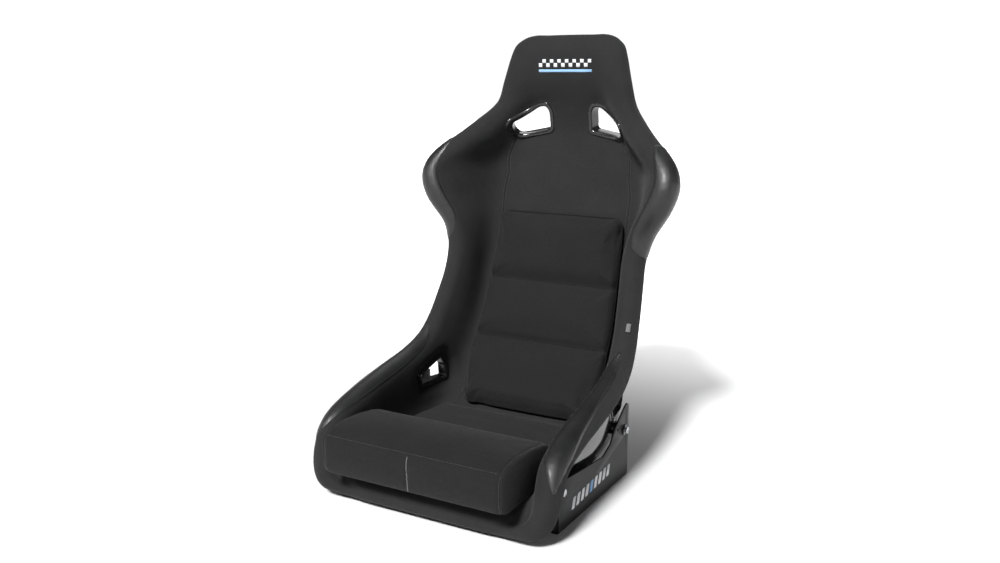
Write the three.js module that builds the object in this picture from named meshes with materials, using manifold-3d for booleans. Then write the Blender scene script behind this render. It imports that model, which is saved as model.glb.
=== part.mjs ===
// Fixed-back racing seat with three loose cushions on side-mount brackets.
// Millimetres, +Z up, the sitter faces -Y, +X is the sitter's left.
import * as THREE from "three";
import { mergeVertices } from "three/addons/utils/BufferGeometryUtils.js";
import Module from "manifold-3d";

const wasm = await Module();
wasm.setup();

// ---------------------------------------------------------------- driving dimensions
// One row per station, from the front lip along the pan and up the back to the top of the head.
// spine: padded surface on the centre line (y, z); rim: centre of the padded edge roll (x, y, z);
// flat: half width of the flat middle; lean: angle of the side where it meets the roll; roll: its radius.
const STATIONS = [
  { spine: [-478, 26], rim: [192, -469, 22], flat: 120, lean: 20, roll: 12 }, // front lip
  { spine: [-468, 43], rim: [238, -460, 42], flat: 150, lean: 65, roll: 22 },
  { spine: [-442, 56], rim: [245, -443, 90], flat: 165, lean: 82, roll: 26 }, // knee end of the bolster
  { spine: [-400, 62], rim: [242, -413, 132], flat: 172, lean: 87, roll: 27 },
  { spine: [-330, 62], rim: [240, -338, 160], flat: 176, lean: 87, roll: 27 },
  { spine: [-240, 60], rim: [239, -247, 181], flat: 178, lean: 86, roll: 27 }, // thigh bolster
  { spine: [-165, 62], rim: [236, -167, 200], flat: 174, lean: 84, roll: 27 },
  { spine: [-100, 76], rim: [231, -108, 226], flat: 164, lean: 80, roll: 26 },
  { spine: [-52, 118], rim: [226, -70, 263], flat: 152, lean: 76, roll: 25 }, // hip corner
  { spine: [-10, 190], rim: [220, -40, 312], flat: 146, lean: 72, roll: 25 },
  { spine: [40, 285], rim: [214, -11, 372], flat: 148, lean: 68, roll: 25 }, // waist
  { spine: [76, 385], rim: [214, 5, 434], flat: 152, lean: 62, roll: 25 },
  { spine: [100, 478], rim: [230, 10, 494], flat: 148, lean: 56, roll: 26 },
  { spine: [118, 560], rim: [269, -1, 560], flat: 140, lean: 48, roll: 28 }, // shoulder wing
  { spine: [130, 628], rim: [270, 14, 611], flat: 112, lean: 46, roll: 28 },
  { spine: [138, 688], rim: [204, 60, 674], flat: 74, lean: 42, roll: 26 }, // shoulder slope
  { spine: [128, 744], rim: [150, 102, 736], flat: 64, lean: 26, roll: 22 }, // neck
  { spine: [108, 800], rim: [133, 110, 797], flat: 66, lean: 12, roll: 20 }, // head
  { spine: [102, 846], rim: [120, 119, 848], flat: 60, lean: 6, roll: 19 },
  { spine: [106, 872], rim: [109, 124, 869], flat: 54, lean: 5, roll: 18 },
  { spine: [116, 888], rim: [84, 130, 880], flat: 42, lean: 4, roll: 17 }, // top of the head
];
const TOP = STATIONS.length - 1;
const FLAT_SHARE = 0.4; // share of the width parameter spent on the flat middle

const STEPS_PER_STATION = 2;
const HALF_COLUMNS = [0, 0.4, 0.54, 0.69, 0.84, 1];
const ROLL_END = 235; // degrees the padding wraps round the edge of the shell
const ROLL_STEPS = 5;

const SHELL = 4; // laminate thickness
const SHELL_DEPTH = 15; // padded surface to the middle of the laminate, in the flat middle
const SHELL_ROOM = 4.2; // half width of the slot in the padding that takes the shell's edge

// Harness slots: outlines of the bezels' outer edges, each corner's radius the same.
const SHOULDER_SLOT = [[42, 731], [54, 750], [79, 747], [137, 707], [141, 684], [127, 664], [42, 681]];
const LAP_SLOT = [[-64, 170], [-64, 130], [-153, 130], [-171, 164], [-84, 196]]; // y, z
const CROTCH_SLOT = [[-38, -291], [38, -291], [38, -257], [-38, -257]]; // x, y
const BEZEL_WIDTH = 9;
const BEZEL_LIP = 5; // overlap of the bezel over the padding round the slot
const BEZEL_WALL = 3.4;
const BEZEL_HEIGHT = 3;

// Side mounts: M8 bolts, front to rear hole spacing 290, the rear hole slotted for tilt.
const PIVOT = [-389, 78];
const HOLE_SPACING = 290;
const REAR_RISE = 24;
const PLATE_X = 242; // inner face of the upright plate
const PLATE = 3;
const FLANGE = 42;
const BOLT = 4; // shank radius
const TILT = 8 / HOLE_SPACING; // travel of the rear bolt each way, radians

// ---------------------------------------------------------------- small maths
const lerp = (a, b, t) => a + (b - a) * t;
const clamp = (t, a = 0, b = 1) => Math.min(b, Math.max(a, t));
const smooth = (t) => clamp(t) ** 2 * (3 - 2 * clamp(t));
const rad = (degrees) => (degrees * Math.PI) / 180;
const vec = (x, y, z) => new THREE.Vector3(x, y, z);
const along = (p, d, s) => p.clone().addScaledVector(d, s);

function spline(values, u) {
  const i = clamp(Math.floor(u), 0, values.length - 2);
  const t = u - i;
  const b = values[i];
  const c = values[i + 1];
  const a = i > 0 ? values[i - 1] : 2 * b - c;
  const d = i < values.length - 2 ? values[i + 2] : 2 * c - b;
  return 0.5 * (2 * b + (c - a) * t + (2 * a - 5 * b + 4 * c - d) * t * t + (3 * b - a - 3 * c + d) * t ** 3);
}

function station(u) {
  const read = (pick) => spline(STATIONS.map(pick), u);
  return {
    spine: vec(0, read((s) => s.spine[0]), read((s) => s.spine[1])),
    rim: vec(read((s) => s.rim[0]), read((s) => s.rim[1]), read((s) => s.rim[2])),
    flat: read((s) => s.flat),
    lean: rad(read((s) => s.lean)),
    roll: read((s) => s.roll),
  };
}

// ---------------------------------------------------------------- the padded surface
// The direction in which the side of the section at u rises.
function sideRise(u) {
  const s = station(u);
  const before = station(clamp(u - 0.001, 0, TOP)).spine;
  const run = station(clamp(u + 0.001, 0, TOP)).spine.sub(before).normalize();
  const rise = s.rim.clone().sub(s.spine).setX(0);
  return rise.addScaledVector(vec(0, -run.z, run.y), 40).normalize();
}

// u runs 0..TOP along the seat, v runs -1..1 across it.
function seatPoint(u, v) {
  const s = station(u);
  const w = Math.abs(v);
  const side = v < 0 ? -1 : 1;
  if (w <= FLAT_SHARE) {
    return vec((side * s.flat * w) / FLAT_SHARE, s.spine.y, s.spine.z);
  }
  const rise = sideRise(u);
  const across = vec(1, 0, 0);
  const leaning = across.clone().multiplyScalar(Math.cos(s.lean)).addScaledVector(rise, Math.sin(s.lean));
  const start = along(s.spine, across, s.flat);
  const end = along(s.rim, across, -s.roll * Math.sin(s.lean));
  end.addScaledVector(rise, s.roll * Math.cos(s.lean));
  const pull = 0.42 * start.distanceTo(end);
  const pulls = [along(start, across, pull), along(end, leaning, -pull)];
  const bend = new THREE.CubicBezierCurve3(start, ...pulls, end);
  const p = bend.getPoint((w - FLAT_SHARE) / (1 - FLAT_SHARE));
  return p.setX(side * p.x);
}

function seatNormal(u, v) {
  const du = seatPoint(Math.min(u + 0.02, TOP), v).sub(seatPoint(Math.max(u - 0.02, 0), v));
  const dv = seatPoint(u, Math.min(v + 0.01, 1)).sub(seatPoint(u, Math.max(v - 0.01, -1)));
  return dv.cross(du).normalize();
}

// The normal in the cross-section alone, which stays steady at the four corners of the surface.
function sectionNormal(u, v) {
  const lean = station(u).lean * clamp((Math.abs(v) - FLAT_SHARE) / (1 - FLAT_SHARE));
  return sideRise(u).multiplyScalar(Math.cos(lean)).add(vec(-Math.sin(lean) * Math.sign(v), 0, 0));
}

// How far behind the padded surface the middle of the shell lies.
function shellDepth(u, v) {
  const nearSide = smooth((Math.abs(v) - FLAT_SHARE) / (1 - FLAT_SHARE));
  const nearEnd = Math.max(smooth(1 - u / 2), smooth(1 - (TOP - u) / 2));
  return lerp(SHELL_DEPTH, station(u).roll, 1 - (1 - nearSide) * (1 - nearEnd));
}

const columns = [...HALF_COLUMNS.slice(1).reverse().map((v) => -v), ...HALF_COLUMNS];
const rows = Array.from({ length: TOP * STEPS_PER_STATION + 1 }, (_, i) => i / STEPS_PER_STATION);
const points = rows.map((u) => columns.map((v) => seatPoint(u, v)));
const nearCorner = (u, v) => smooth(1 - Math.min(u, TOP - u) / 2.5) * smooth((Math.abs(v) - 0.3) / 0.3);
let normals = rows.map((u) => columns.map((v) =>
  seatNormal(u, v).lerp(sectionNormal(u, v), nearCorner(u, v)).normalize()));
const lastRow = rows.length - 1;
const lastColumn = columns.length - 1;

// The normals are evened out over the grid.
function evened(field) {
  return field.map((row, i) =>
    row.map((_, j) => {
      const sum = vec(0, 0, 0);
      for (let di = -1; di <= 1; di += 1) {
        for (let dj = -1; dj <= 1; dj += 1) {
          const near = field[clamp(i + di, 0, lastRow)][clamp(j + dj, 0, lastColumn)];
          sum.addScaledVector(near, di || dj ? 0.5 : 1);
        }
      }
      return sum.normalize();
    }),
  );
}
for (let pass = 0; pass < 2; pass += 1) normals = evened(normals);

// Indices of the surface's border, once round.
const border = [
  ...columns.map((_, j) => [0, j]),
  ...rows.slice(1).map((_, i) => [i + 1, lastColumn]),
  ...columns.slice(1).map((_, j) => [lastRow, lastColumn - 1 - j]),
  ...rows.slice(2).map((_, i) => [lastRow - 1 - i, 0]),
];
const frames = border.map(([i, j], k) => {
  const at = (q) => {
    const [row, column] = border[(q + border.length) % border.length];
    return points[row][column];
  };
  const tangent = at(k + 1).clone().sub(at(k - 1)).normalize();
  const out = tangent.clone().cross(sectionNormal(rows[i], columns[j])).normalize();
  const n = out.clone().cross(tangent).normalize();
  const r = station(rows[i]).roll;
  normals[i][j].copy(n);
  return { centre: along(points[i][j], n, -r), n, out, r };
});

// A point on the edge roll: angle 0 faces the sitter, 90 is the outermost edge, 180 the outside.
function rollPoint(frame, degrees, radius) {
  const a = rad(degrees);
  return along(frame.centre, frame.n, radius * Math.cos(a)).addScaledVector(frame.out, radius * Math.sin(a));
}

// ---------------------------------------------------------------- closed skins
class Skin {
  constructor() {
    this.xyz = [];
    this.tri = [];
  }
  point(p) {
    this.xyz.push(p.x, p.y, p.z);
    return this.xyz.length / 3 - 1;
  }
  loop(ring) {
    return ring.map((p) => this.point(p));
  }
  quad(a, b, c, d) {
    this.tri.push(a, b, c, a, c, d);
  }
  band(first, second) {
    const n = first.length;
    for (let k = 0; k < n; k += 1) {
      const q = (k + 1) % n;
      this.quad(first[k], first[q], second[q], second[k]);
    }
  }
  // Quads are split along diagonals that mirror about the middle column.
  sheet(grid, flip = false) {
    const half = (grid[0].length - 1) / 2;
    for (let i = 0; i + 1 < grid.length; i += 1) {
      for (let j = 0; j + 1 < grid[i].length; j += 1) {
        const [a, b, c, d] = [grid[i][j], grid[i + 1][j], grid[i + 1][j + 1], grid[i][j + 1]];
        const corners = j < half ? [b, c, d, a] : [a, b, c, d];
        if (flip) corners.splice(1, 3, corners[3], corners[2], corners[1]);
        this.quad(...corners);
      }
    }
  }
  fan(loop, centre, flip = false) {
    const c = this.point(centre);
    loop.forEach((a, k) => {
      const b = loop[(k + 1) % loop.length];
      this.tri.push(...(flip ? [b, a, c] : [a, b, c]));
    });
  }
  geometry() {
    const p = this.xyz;
    let volume = 0;
    for (let t = 0; t < this.tri.length; t += 3) {
      const [a, b, c] = [0, 1, 2].map((k) => vec(...p.slice(3 * this.tri[t + k], 3 * this.tri[t + k] + 3)));
      volume += a.dot(b.cross(c));
    }
    const order = volume < 0 ? [...this.tri].reverse() : this.tri;
    const g = new THREE.BufferGeometry();
    g.setAttribute("position", new THREE.Float32BufferAttribute(p, 3));
    g.setIndex(order);
    return g;
  }
}

function edgeOf(grid) {
  const m = grid.length - 1;
  const n = grid[0].length - 1;
  return [
    ...grid[0],
    ...grid.slice(1).map((row) => row[n]),
    ...grid[m].slice(0, n).reverse(),
    ...grid.slice(1, m).map((row) => row[0]).reverse(),
  ];
}

// A sheet with thickness: two grids of points and the band between their edges.
function slab(front, back) {
  const skin = new Skin();
  const f = front.map((row) => skin.loop(row));
  const b = back.map((row) => skin.loop(row));
  skin.sheet(f);
  skin.sheet(b, true);
  skin.band(edgeOf(f), edgeOf(b));
  return skin.geometry();
}

// A ring whose section is the closed run of loops given.
function torus(loops) {
  const skin = new Skin();
  const ids = loops.map((ring) => skin.loop(ring));
  ids.forEach((ring, k) => skin.band(ring, ids[(k + 1) % ids.length]));
  return skin.geometry();
}

// A plug through a run of loops, closed at both ends by fans, so its outline is convex.
function plug(loops) {
  const skin = new Skin();
  const ids = loops.map((ring) => skin.loop(ring));
  for (let k = 0; k + 1 < ids.length; k += 1) skin.band(ids[k], ids[k + 1]);
  const middle = (ring) => ring.reduce((sum, p) => sum.add(p), vec(0, 0, 0)).divideScalar(ring.length);
  skin.fan(ids[0], middle(loops[0]), true);
  skin.fan(ids[ids.length - 1], middle(loops[loops.length - 1]));
  return skin.geometry();
}

// ---------------------------------------------------------------- solids
function solid(geometry) {
  const g = geometry.clone();
  g.deleteAttribute("normal");
  g.deleteAttribute("uv");
  const merged = mergeVertices(g, 1e-4);
  const index = merged.index.array;
  return new wasm.Manifold(
    new wasm.Mesh({
      numProp: 3,
      vertProperties: new Float32Array(merged.attributes.position.array),
      triVerts: new Uint32Array(index),
    }),
  );
}

function geometryOf(manifold) {
  const mesh = manifold.getMesh();
  const g = new THREE.BufferGeometry();
  g.setAttribute("position", new THREE.BufferAttribute(new Float32Array(mesh.vertProperties), 3));
  g.setIndex(new THREE.BufferAttribute(new Uint32Array(mesh.triVerts), 1));
  return g;
}

// Cuts the tools away and keeps the largest body left.
function cut(geometry, ...tools) {
  const rest = tools.reduce((body, tool) => body.subtract(solid(tool)), solid(geometry));
  const bodies = rest.decompose().sort((a, b) => b.volume() - a.volume());
  return geometryOf(bodies[0]);
}
const mirrored = (p) => vec(-p.x, p.y, p.z);

// ---------------------------------------------------------------- outlines on the surface
// Rounds the corners of an outline; each corner becomes three points.
function rounded(outline, radius) {
  return outline.flatMap((p, k) => {
    const a = outline[(k + outline.length - 1) % outline.length];
    const b = outline[(k + 1) % outline.length];
    const toward = (q) => {
      const length = Math.hypot(q[0] - p[0], q[1] - p[1]);
      const reach = Math.min(radius, 0.45 * length) / length;
      return [lerp(p[0], q[0], reach), lerp(p[1], q[1], reach)];
    };
    const [start, end] = [toward(a), toward(b)];
    const middle = [0, 1].map((c) => 0.25 * start[c] + 0.5 * p[c] + 0.25 * end[c]);
    return [start, middle, end];
  });
}

// Moves an outline inward by a distance.
function inset(outline, distance) {
  const n = outline.length;
  const area = outline.reduce((sum, p, k) => {
    const q = outline[(k + 1) % n];
    return sum + p[0] * q[1] - q[0] * p[1];
  }, 0);
  const turn = Math.sign(area);
  return outline.map((p, k) => {
    const a = outline[(k + n - 1) % n];
    const b = outline[(k + 1) % n];
    const one = [p[0] - a[0], p[1] - a[1]];
    const two = [b[0] - p[0], b[1] - p[1]];
    const [l1, l2] = [Math.hypot(...one), Math.hypot(...two)];
    const n1 = [(-turn * one[1]) / l1, (turn * one[0]) / l1];
    const n2 = [(-turn * two[1]) / l2, (turn * two[0]) / l2];
    const scale = distance / (1 + n1[0] * n2[0] + n1[1] * n2[1]);
    return [p[0] + scale * (n1[0] + n2[0]), p[1] + scale * (n1[1] + n2[1])];
  });
}

// Finds the surface parameters where two chosen coordinates take given values.
function locate(target, axes, uRange, vRange) {
  const miss = (u, v) => {
    const p = seatPoint(u, v);
    return [p[axes[0]] - target[0], p[axes[1]] - target[1]];
  };
  let best = [uRange[0], vRange[0]];
  let least = Infinity;
  for (let i = 0; i <= 24; i += 1) {
    for (let j = 0; j <= 24; j += 1) {
      const uv = [lerp(...uRange, i / 24), lerp(...vRange, j / 24)];
      const size = Math.hypot(...miss(...uv));
      if (size < least) [least, best] = [size, uv];
    }
  }
  for (let step = 0; step < 8; step += 1) {
    const [u, v] = best;
    const m = miss(u, v);
    const mu = miss(u + 0.01, v).map((x, k) => (x - m[k]) / 0.01);
    const mv = miss(u, v + 0.005).map((x, k) => (x - m[k]) / 0.005);
    const det = mu[0] * mv[1] - mu[1] * mv[0];
    best = [u - (m[0] * mv[1] - m[1] * mv[0]) / det, v - (mu[0] * m[1] - mu[1] * m[0]) / det];
  }
  return best;
}

// One harness slot: the cutter through padding and shell, its front bezel and its rear ring.
function harnessSlot(outline, axes, uRange, vRange, radius, ringDepth) {
  const placed = (distance) =>
    inset(rounded(outline, radius), distance).map((t) => {
      const [u, v] = locate(t, axes, uRange, vRange);
      return { p: seatPoint(u, v), depth: shellDepth(u, v) };
    });
  const [uMid, vMid] = locate(
    [0, 1].map((c) => outline.reduce((sum, p) => sum + p[c], 0) / outline.length), axes, uRange, vRange);
  const n = seatNormal(uMid, vMid);
  const at = (ring, height) => ring.map((q) => along(q.p, n, height));
  const behind = (ring, extra) => ring.map((q) => along(q.p, n, -q.depth - SHELL / 2 - extra));
  const outer = placed(0);
  const hole = placed(BEZEL_LIP);
  const throat = placed(BEZEL_LIP + 0.8);
  const opening = placed(BEZEL_LIP + 0.8 + BEZEL_WALL);
  const crown = placed(BEZEL_WIDTH * 0.35);
  return {
    cutter: plug([at(hole, 40), at(hole, -60)]),
    bezel: torus([
      at(outer, 0.8), at(crown, BEZEL_HEIGHT + 0.6), at(opening, BEZEL_HEIGHT - 0.6),
      behind(opening, ringDepth + 2), behind(throat, ringDepth + 2), at(throat, 0.8),
    ]),
    ring: torus([
      behind(placed(0), -8), behind(placed(BEZEL_LIP + 0.2), -8),
      behind(placed(BEZEL_LIP + 0.2), ringDepth), behind(placed(0.8), ringDepth),
    ]),
    lift: n.clone().multiplyScalar(0.4),
  };
}

function flipX(geometry) {
  const g = geometry.clone().applyMatrix4(new THREE.Matrix4().makeScale(-1, 1, 1));
  g.setIndex([...g.index.array].reverse());
  return g;
}

// ---------------------------------------------------------------- materials
const finish = (color, roughness, metalness = 0) =>
  new THREE.MeshStandardMaterial({ color, roughness, metalness });
const knit = finish(0x1b1b1d, 0.95);
const cushionKnit = finish(0x18181a, 0.95);
const vinyl = finish(0x202022, 0.45);
const gelcoat = finish(0x0a0a0b, 0.12);
const plastic = finish(0x0c0c0d, 0.25);
const blackSteel = finish(0x141415, 0.45, 0.6);
const zinc = finish(0xb9bcc0, 0.3, 1);
const hookTape = finish(0x101010, 1);
const thread = finish(0xd8dde2, 0.8);

const seat = new THREE.Group();
function add(name, geometry, material, parent = seat) {
  const mesh = new THREE.Mesh(geometry, material);
  mesh.name = name;
  parent.add(mesh);
  return mesh;
}

// ---------------------------------------------------------------- harness slots
const shoulder = harnessSlot(SHOULDER_SLOT, ["x", "z"], [14, 17], [0.1, 0.9], 12, 7.5);
const lap = harnessSlot(LAP_SLOT, ["y", "z"], [5, 9], [0.5, 0.98], 9, 4);
const crotch = harnessSlot(CROTCH_SLOT, ["x", "y"], [3.5, 6], [-0.3, 0.3], 10, 4);
const cutters = [shoulder.cutter, flipX(shoulder.cutter), lap.cutter, flipX(lap.cutter), crotch.cutter];

// ---------------------------------------------------------------- shell
// The surface moved back by a distance; reach pushes its border outward as well.
function offsetGrid(distance, reach = 0) {
  const behind = (p, i, j) => along(p, normals[i][j], -distance(rows[i], columns[j]));
  const grid = points.map((row, i) => row.map((p, j) => behind(p, i, j)));
  border.forEach(([i, j], k) => grid[i][j].addScaledVector(frames[k].out, reach));
  return grid;
}
const laminateFront = offsetGrid((u, v) => shellDepth(u, v) - SHELL / 2);
const laminateBack = offsetGrid((u, v) => shellDepth(u, v) + SHELL / 2);
add("shell", cut(slab(laminateFront, laminateBack), ...cutters), gelcoat);

// ---------------------------------------------------------------- padding and its cover
function paddedCover() {
  const skin = new Skin();
  const front = points.map((row) => skin.loop(row));
  const back = offsetGrid((u, v) => shellDepth(u, v) - SHELL_ROOM).map((row) => skin.loop(row));
  skin.sheet(front);
  skin.sheet(back, true);
  const loops = [edgeOf(front)];
  for (let k = 1; k <= ROLL_STEPS; k += 1) {
    loops.push(skin.loop(frames.map((f) => rollPoint(f, (k * ROLL_END) / ROLL_STEPS, f.r))));
  }
  const tuck = rad(ROLL_END - 180);
  const tucked = (f) => along(f.centre, f.n, -SHELL_ROOM).addScaledVector(f.out, -f.r * Math.sin(tuck));
  loops.push(skin.loop(frames.map(tucked)));
  for (const degrees of [180, 90]) {
    loops.push(skin.loop(frames.map((f) => rollPoint(f, degrees, SHELL_ROOM))));
  }
  loops.push(edgeOf(back));
  for (let k = 0; k + 1 < loops.length; k += 1) skin.band(loops[k], loops[k + 1]);
  return skin.geometry();
}
const shellRoom = slab(
  offsetGrid((u, v) => shellDepth(u, v) - SHELL / 2 - 0.5, 1.5),
  offsetGrid((u, v) => shellDepth(u, v) + SHELL / 2 + 0.5, 1.5),
);
const cover = cut(paddedCover(), shellRoom, ...cutters);
add("cover", cover, knit);

// Everything from in front of the padding to the back of the shell.
const insideShell = slab(offsetGrid(() => -20), offsetGrid((u, v) => shellDepth(u, v) + SHELL / 2 + 0.4));
for (const [place, slot] of [["shoulder", shoulder], ["lap", lap], ["crotch", crotch]]) {
  const bezel = cut(slot.bezel, cover.clone().translate(slot.lift.x, slot.lift.y, slot.lift.z));
  const ring = cut(slot.ring, insideShell);
  if (place === "crotch") {
    add("crotch_bezel", bezel, plastic);
    add("crotch_back_ring", ring, plastic);
    continue;
  }
  add(`${place}_bezel_left`, bezel, plastic);
  add(`${place}_bezel_right`, flipX(bezel), plastic);
  add(`${place}_back_ring_left`, ring, plastic);
  add(`${place}_back_ring_right`, flipX(ring), plastic);
}

// ---------------------------------------------------------------- vinyl wear patches on the edge roll
const leftEdge = rows.map((u, i) => [u, frames[columns.length - 1 + i]]);

// A frame of the left edge roll at any station, between the two nearest rows.
function edgeFrame(u) {
  const i = clamp(Math.floor(u * STEPS_PER_STATION), 0, lastRow - 1);
  const t = u * STEPS_PER_STATION - i;
  const [a, b] = [leftEdge[i][1], leftEdge[i + 1][1]];
  return {
    centre: a.centre.clone().lerp(b.centre, t),
    n: a.n.clone().lerp(b.n, t).normalize(),
    out: a.out.clone().lerp(b.out, t).normalize(),
    r: lerp(a.r, b.r, t),
  };
}

// A skin on the roll between two stations; seam gives its inner and outer angle at each share of its length.
function rollPatch(from, to, seam, low, high) {
  const count = Math.round((to - from) * STEPS_PER_STATION);
  const layer = (height) =>
    Array.from({ length: count + 1 }, (_, i) => {
      const f = edgeFrame(lerp(from, to, i / count));
      const [inner, outer] = seam(i / count);
      return Array.from({ length: 7 }, (_, j) => rollPoint(f, lerp(inner, outer, j / 6), f.r + height));
    });
  return slab(layer(high), layer(low));
}
const pointed = (t, power) => 1 - Math.abs(2 * t - 1) ** power;
const wingPatch = rollPatch(11.5, 14.5, (t) => [lerp(lerp(60, 95, t), 22, pointed(t, 2.5)), 195], 2.2, 3.4);
const thighBand = (t) => [lerp(75, 28, pointed(t, 4)), lerp(100, 132, pointed(t, 4))];
const thighPatch = rollPatch(2, 8, thighBand, 1.2, 2.4);
add("wing_patch_left", wingPatch, vinyl);
add("wing_patch_right", flipX(wingPatch), vinyl);
add("thigh_patch_left", thighPatch, vinyl);
add("thigh_patch_right", flipX(thighPatch), vinyl);

const tagFlap = rollPatch(8.35, 8.85, () => [94, 114], 3, 4.2);
add("label_tag", tagFlap, thread);

// ---------------------------------------------------------------- loose cushions
// A pad on the surface: stations, cross shares, half width at a station, height over the base at a share.
function seatPad(stations, shares, halfWidth, gap, height) {
  const layer = (lift) =>
    stations.map((u, i) =>
      shares.map((share) => {
        const s = station(u);
        const x = share * halfWidth(u);
        const v = (FLAT_SHARE * x) / s.flat;
        return along(seatPoint(u, v), seatNormal(u, 0), lift(i / (stations.length - 1), share, u));
      }),
    );
  return slab(layer((t, share, u) => gap + height(t, share, u)), layer(() => gap));
}
const soften = (t, share, edge) => {
  const border = Math.min(t, 1 - t) < 1e-6 || Math.abs(share) > 1 - 1e-6;
  return border ? edge : 1;
};
const PAD_GAP = 4;
const ACROSS = [-1, -0.93, -0.6, 0, 0.6, 0.93, 1];

const CHANNELS = [9.35, 10.65]; // stations of the two sewn channels
const backRows = [7.3, 7.45, 8.2, 8.8, 9.2, 9.35, 9.5, 10.1, 10.5, 10.65, 10.8, 11.3, 11.85, 12.15, 12.27];
const backHalf = (u) => lerp(150, 170, smooth((u - 7.4) / 1.6)) - 17 * smooth((u - 9.2) / 2.4);
const backPad = seatPad(backRows, ACROSS, backHalf, PAD_GAP, (t, share, u) =>
  soften(t, share, 0.6) * (CHANNELS.includes(u) ? 22 : 34));
add("back_cushion", backPad, cushionKnit);

// Side profiles of the two seat cushions (y, z), each from the front round over the top.
const THIGH_PROFILE = [
  [-480, 64], [-508, 64], [-520, 70], [-526, 86], [-526, 136], [-518, 152], [-500, 161],
  [-460, 165], [-400, 161], [-350, 154], [-334, 145], [-330, 134], [-330, 72], [-340, 66.5], [-440, 66.5],
];
const HIP_PROFILE = [
  [-323, 67], [-323, 106], [-312, 113], [-220, 110], [-130, 104], [-118, 97], [-118, 80], [-130, 74],
  [-165, 67.5], [-240, 65],
];
const THIGH_HALF = 202;
const HIP_HALF = 176;

// A cushion of one profile, its ends rounded over; trimmed to clear the padding it lies in.
const surfaceRoom = slab(offsetGrid(() => -2.5), offsetGrid(() => 10));
function seatCushion(profile, half) {
  const ys = profile.map((p) => p[0]);
  const zs = profile.map((p) => p[1]);
  const centre = [ys, zs].map((list) => (Math.min(...list) + Math.max(...list)) / 2);
  const ends = [[-1, 0.92], [-0.97, 0.98], [-0.88, 1], [0, 1], [0.88, 1], [0.97, 0.98], [1, 0.92]];
  const loops = ends.map(([share, size]) =>
    profile.map(([y, z]) => vec(share * half, lerp(centre[0], y, size), lerp(centre[1], z, size))));
  return cut(plug(loops), surfaceRoom);
}
add("thigh_cushion", seatCushion(THIGH_PROFILE, THIGH_HALF), cushionKnit);
add("hip_cushion", seatCushion(HIP_PROFILE, HIP_HALF), cushionKnit);

// Hook-and-loop strips between the cushions and the cover.
function gripStrip(from, to, xMid, half) {
  const stations = rows.filter((u) => u >= from && u <= to);
  const layer = (lift) =>
    stations.map((u) =>
      [-half, half].map((x) => along(seatPoint(u, 0).setX(xMid + x), seatNormal(u, 0), lift)));
  return slab(layer(3.2), layer(0.8));
}
for (const [side, sign] of [["left", 1], ["right", -1]]) {
  add(`back_grip_strip_${side}`, gripStrip(8.5, 11.5, 70 * sign, 18), hookTape);
  add(`hip_grip_strip_${side}`, gripStrip(4.5, 6.5, 95 * sign, 18), hookTape);
  add(`thigh_grip_strip_${side}`, gripStrip(2.5, 4, 95 * sign, 18), hookTape);
}

// Embroidered panel on the head.
const badgeRows = [17, 17.5, 18].map((u) => [-62, 62].map((x) => [u, x]));
const badgePoint = (u, x, lift) => along(seatPoint(u, 0).setX(x), seatNormal(u, 0), lift);
const badgeLayer = (lift) => badgeRows.map((row) => row.map(([u, x]) => badgePoint(u, x, lift)));
add("head_badge", slab(badgeLayer(1.6), badgeLayer(0.6)), thread);

// ---------------------------------------------------------------- side mounts
const yz = (outline, x) => outline.map(([y, z]) => vec(x, y, z));
// Any outline in the y-z plane pushed along x.
function prismX(outline, x0, x1) {
  const shape = new THREE.Shape(outline.map(([y, z]) => new THREE.Vector2(y, z)));
  const g = new THREE.ExtrudeGeometry(shape, { depth: x1 - x0, bevelEnabled: false });
  return g.applyMatrix4(new THREE.Matrix4().set(0, 0, 1, x0, 1, 0, 0, 0, 0, 1, 0, 0, 0, 0, 0, 1));
}
const circle = ([y, z], r, count = 16) =>
  Array.from({ length: count }, (_, k) => rad((360 * k) / count)).map((a) => [
    y + r * Math.cos(a),
    z + r * Math.sin(a),
  ]);

const rearBolt = [PIVOT[0] + Math.sqrt(HOLE_SPACING ** 2 - REAR_RISE ** 2), PIVOT[1] + REAR_RISE];
// A slot curved about the pivot, wide enough for the bolt and its travel each way.
function tiltSlot() {
  const start = Math.atan2(REAR_RISE, rearBolt[0] - PIVOT[0]);
  const r = BOLT + 0.5;
  const middleAt = (turn) => [
    PIVOT[0] + HOLE_SPACING * Math.cos(start + turn),
    PIVOT[1] + HOLE_SPACING * Math.sin(start + turn),
  ];
  const arc = (turn, from, to) => {
    const [y, z] = middleAt(turn);
    return Array.from({ length: 9 }, (_, k) => {
      const a = rad(lerp(from, to, k / 8)) + start;
      return [y + r * Math.cos(a), z + r * Math.sin(a)];
    });
  };
  return [...arc(TILT * 1.06, 0, 180), ...arc(-TILT * 1.06, 180, 360)];
}

const BRACKET_OUTLINE = [
  [-399, 0], [-80, 0], [-80, 152], [-90, 156], [-102, 150], [-150, 119], [-170, 94], [-206, 80], [-337, 92],
  [-394, 98], [-399, 93],
];
const FLOOR_SLOTS = [-370, -122];

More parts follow.
